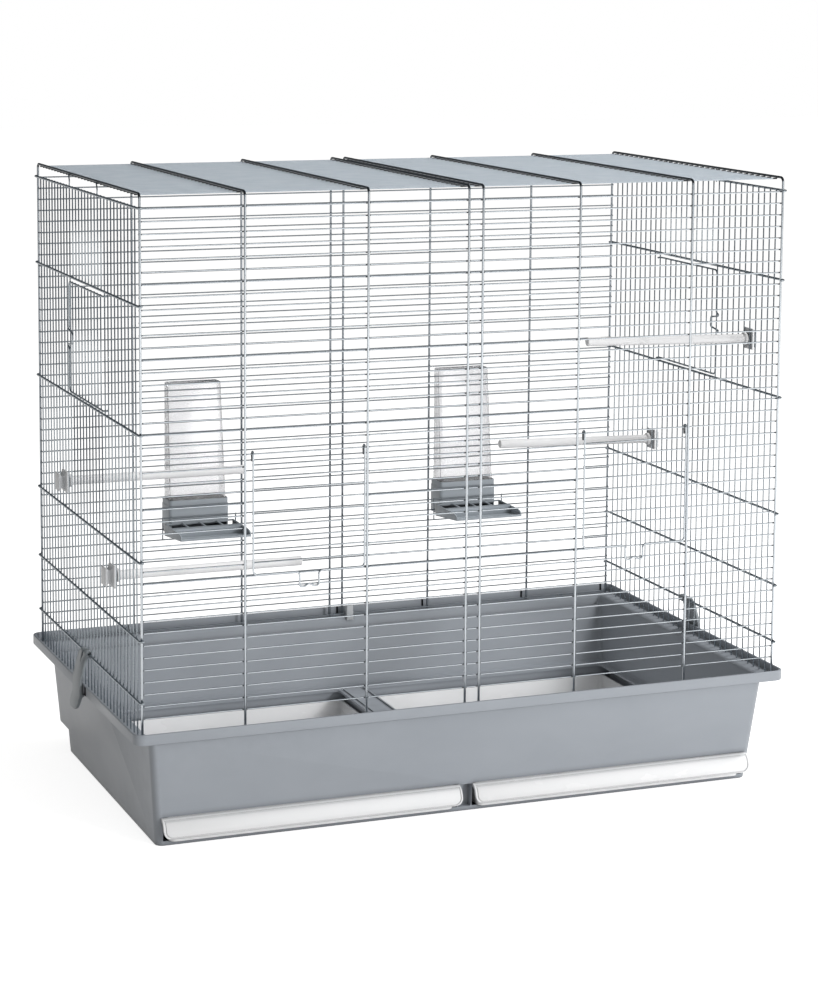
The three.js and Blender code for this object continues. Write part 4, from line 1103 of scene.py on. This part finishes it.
clip = {
    "rodX": 433.72, "width": 36, "curl": 10.4, "curlWall": 2.8, "inner": 2.3, "mouth": 252, "wall": 3.6,
    "lip": 2.1, "lipWall": 2, "tabDrop": 20, "tabFlare": 9, "tabCorner": 10,
    "notchDrop": 12, "notchHalf": 5, "past": 1, "edge": 0.4,
}


def leverShape(rodZ, lipTop, tab):
    # front view of the lever, from the rod over the rim and its lip to the tab
    wall, gap, lipWall, flare = clip["wall"], cage["gap"], clip["lipWall"], clip["tabFlare"]
    rimX, shoulder, inner = base["rimX"] + 3 * gap, cage["rimTop"] + wall, clip["inner"]
    lipX = rimX - 3 * gap - clip["lip"]
    return [
        (clip["rodX"] + inner, rodZ), (rimX, shoulder), (rimX, lipTop), (lipX, lipTop),
        (lipX, lipTop - lipWall), (rimX, lipTop - 2 * lipWall), (rimX + flare - wall, tab),
        (rimX + flare, tab), (rimX + wall + gap, lipTop - lipWall), (rimX + wall, shoulder),
        (clip["rodX"] + (inner + clip["curlWall"]), rodZ),
    ]


def buildClip(hand, side):
    rod, rodZ, past = clip["rodX"], cage["rimTop"] + cage["rods"][0], clip["past"]
    lipTop = base["rimFoot"] - 2 * cage["gap"]
    tab, half, corner = lipTop - clip["tabDrop"], clip["width"] / 2, clip["tabCorner"]
    inner, outer = clip["inner"], clip["inner"] + clip["curlWall"]
    reach = base["rimX"] + 3 * cage["gap"] + 2 * clip["tabFlare"]
    outline = ([(-half, rodZ + past)] + flatArc((corner - half, tab + corner), corner, 180, 270, 6)
               + flatArc((half - corner, tab + corner), corner, 270, 360, 6) + [(half, rodZ + past)])
    lever = prism(leverShape(rodZ, lipTop, tab), "y", -half, half)
    obj = mouldedPiece("sideClip_" + hand, mirrored(lever, side), clipGrey)
    cut(obj, [mirrored(prism(outline, "x", 0, reach), side)], "INTERSECT")
    notch = [(-clip["notchHalf"], rodZ + 2 * past), (0, rodZ - clip["notchDrop"]),
             (clip["notchHalf"], rodZ + 2 * past)]
    cut(obj, [mirrored(prism(notch, "x", 0, reach), side)])
    curl = flatArc((rod, rodZ), outer, 0, clip["mouth"], 16)
    curl += flatArc((rod, rodZ), inner, clip["mouth"], 0, 16)
    for end in (-1, 1):
        middle = end * cage["uprightPitch"] / 2
        ring = prism(curl, "y", middle - clip["curl"] / 2, middle + clip["curl"] / 2)
        cut(obj, [mirrored(ring, side)], "UNION")
    softenEdges(obj, clip["edge"])
    placePiece(obj, "side_clip_" + hand, "side_clip_" + hand)


for hand, side in sides.items():
    buildClip(hand, side)


# the small frosted clip inside the back wires, over the funnel's edge

rearClip = {"wall": 2.2, "round": 1, "edge": 0.3}


def buildRearClip():
    (left, front, foot), (right, back, top) = ([c / mm for c in corner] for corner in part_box("rear_clip"))
    shelf, wall, turn = base["shelf"] + cage["gap"], rearClip["wall"], rearClip["round"]
    edge = base["bodyY"] - base["wall"] - cage["gap"]
    outline = [(back, shelf), (back, top - turn), (back - turn, top), (edge - wall, top), (front, foot),
               (front + wall, foot), (edge, base["shelf"] - base["shelfRound"]), (edge, shelf)]
    obj = mouldedPiece("rearClip", prism(outline, "x", left, right), frostedClip)
    softenEdges(obj, rearClip["edge"])
    placePiece(obj, "cage", "rear_clip")


buildRearClip()
print("clips ready")


# camera, floor and light

def addCamera():
    view = {"place": (-1.26745, -3.24304, 1.06481), "yaw": -21.51, "pitch": 7.11, "roll": 0.40,
            "lens": 95, "film": 36, "shift": -0.2, "far": 60}
    yaw, pitch, roll = (math.radians(view[key]) for key in ("yaw", "pitch", "roll"))
    ahead = Vector((-math.sin(yaw) * math.cos(pitch), math.cos(yaw) * math.cos(pitch), -math.sin(pitch)))
    right = Vector((math.cos(yaw), math.sin(yaw), 0))
    up = right.cross(ahead)
    tiltedRight = right * math.cos(roll) + up * math.sin(roll)
    tiltedUp = up * math.cos(roll) - right * math.sin(roll)
    camera = bpy.data.objects.new("camera", bpy.data.cameras.new("camera"))
    bpy.context.scene.collection.objects.link(camera)
    turn = Matrix((tiltedRight, tiltedUp, -ahead)).transposed().to_4x4()
    camera.matrix_world = Matrix.Translation(view["place"]) @ turn
    camera.data.lens = view["lens"]
    camera.data.sensor_width = view["film"]
    camera.data.shift_y = view["shift"]
    camera.data.clip_end = view["far"]
    bpy.context.scene.camera = camera


def directRays(tree):
    # 1 for what the camera sees, also through clear plastic
    light, seen = addNode(tree, "LightPath"), addMath(tree, "MAXIMUM")
    joinNodes(tree, (light, "Is Camera Ray", seen, 0), (light, "Is Transmission Ray", seen, 1))
    return light, seen


def addFloor():
    floor = {"reach": 14000, "drop": 0.5, "shade": 0.75, "mottle": 0.02, "glow": 0.8, "mirrorGlow": 0.5}
    material, tree, shader = startMaterial("paperFloor")
    grain = addNode(tree, "TexNoise", Scale=3)
    dark, light = (floor["shade"],) * 3, (floor["shade"] + floor["mottle"],) * 3
    tree.links.new(mixColours(tree, grain.outputs["Fac"], dark, light), shader.inputs["Base Color"])
    setInputs(shader, Roughness=0.9, Specular_IOR_Level=0.1, Emission_Color=(1, 1, 1, 1))
    rays, seen = directRays(tree)
    inMetal = addMath(tree, "MULTIPLY_ADD", floor["mirrorGlow"], clamp=True)
    glow = addMath(tree, "MULTIPLY", floor["glow"])
    joinNodes(tree, (rays, "Is Glossy Ray", inMetal, 0), (seen, 0, inMetal, 2), (inMetal, 0, glow, 0),
              (glow, 0, shader, "Emission Strength"))
    r, z = floor["reach"], -floor["drop"]
    corners = [(-r, -r, z), (r, -r, z), (r, r, z), (-r, r, z)]
    makeObject("paperFloor", corners, [(0, 1, 2, 3)], material, smooth=False)


def addWorld():
    # a warm room for plain light, a dark one for metal and a white one for the camera
    world = bpy.data.worlds.new("studio")
    bpy.context.scene.world = world
    world.use_nodes = True
    tree = world.node_tree
    room = setInputs(tree.nodes["Background"], Color=(1.0, 0.985, 0.96, 1), Strength=0.32)
    dark = addNode(tree, "Background", Color=(0.8, 0.9, 1.0, 1), Strength=0.12)
    white = addNode(tree, "Background", Color=(1, 1, 1, 1), Strength=1.0)
    inMetal, mix = addNode(tree, "MixShader"), addNode(tree, "MixShader")
    rays, seen = directRays(tree)
    joinNodes(tree, (rays, "Is Glossy Ray", inMetal, 0), (room, 0, inMetal, 1), (dark, 0, inMetal, 2),
              (seen, 0, mix, 0), (inMetal, 0, mix, 1), (white, 0, mix, 2),
              (mix, 0, tree.nodes["World Output"], "Surface"))


lamps = [
    {"name": "frontSoft", "place": (1.8, -3.6, 1.75), "size": (4.4, 3.4), "power": 46, "mirrored": True},
    {"name": "keySoft", "place": (1.3, -3.5, 1.2), "size": (0.5, 0.5), "power": 62, "mirrored": False},
    {"name": "topSoft", "place": (1.7, 0.2, 2.4), "size": (0.6, 0.6), "power": 40, "mirrored": False},
]
lampAim = Vector((0, 0, 0.35))


def addLamp(lamp):
    data = bpy.data.lights.new(lamp["name"], "AREA")
    data.shape = "RECTANGLE"
    data.size, data.size_y = lamp["size"]
    data.energy = lamp["power"]
    obj = bpy.data.objects.new(lamp["name"], data)
    bpy.context.scene.collection.objects.link(obj)
    obj.location = lamp["place"]
    obj.visible_glossy = lamp["mirrored"]
    obj.rotation_mode = "QUATERNION"
    obj.rotation_quaternion = (lampAim - obj.location).to_track_quat("-Z", "Y")


addCamera()
addFloor()
addWorld()
for lamp in lamps:
    addLamp(lamp)
bpy.context.scene.view_settings.view_transform = "Standard"
print("camera, floor and light ready")
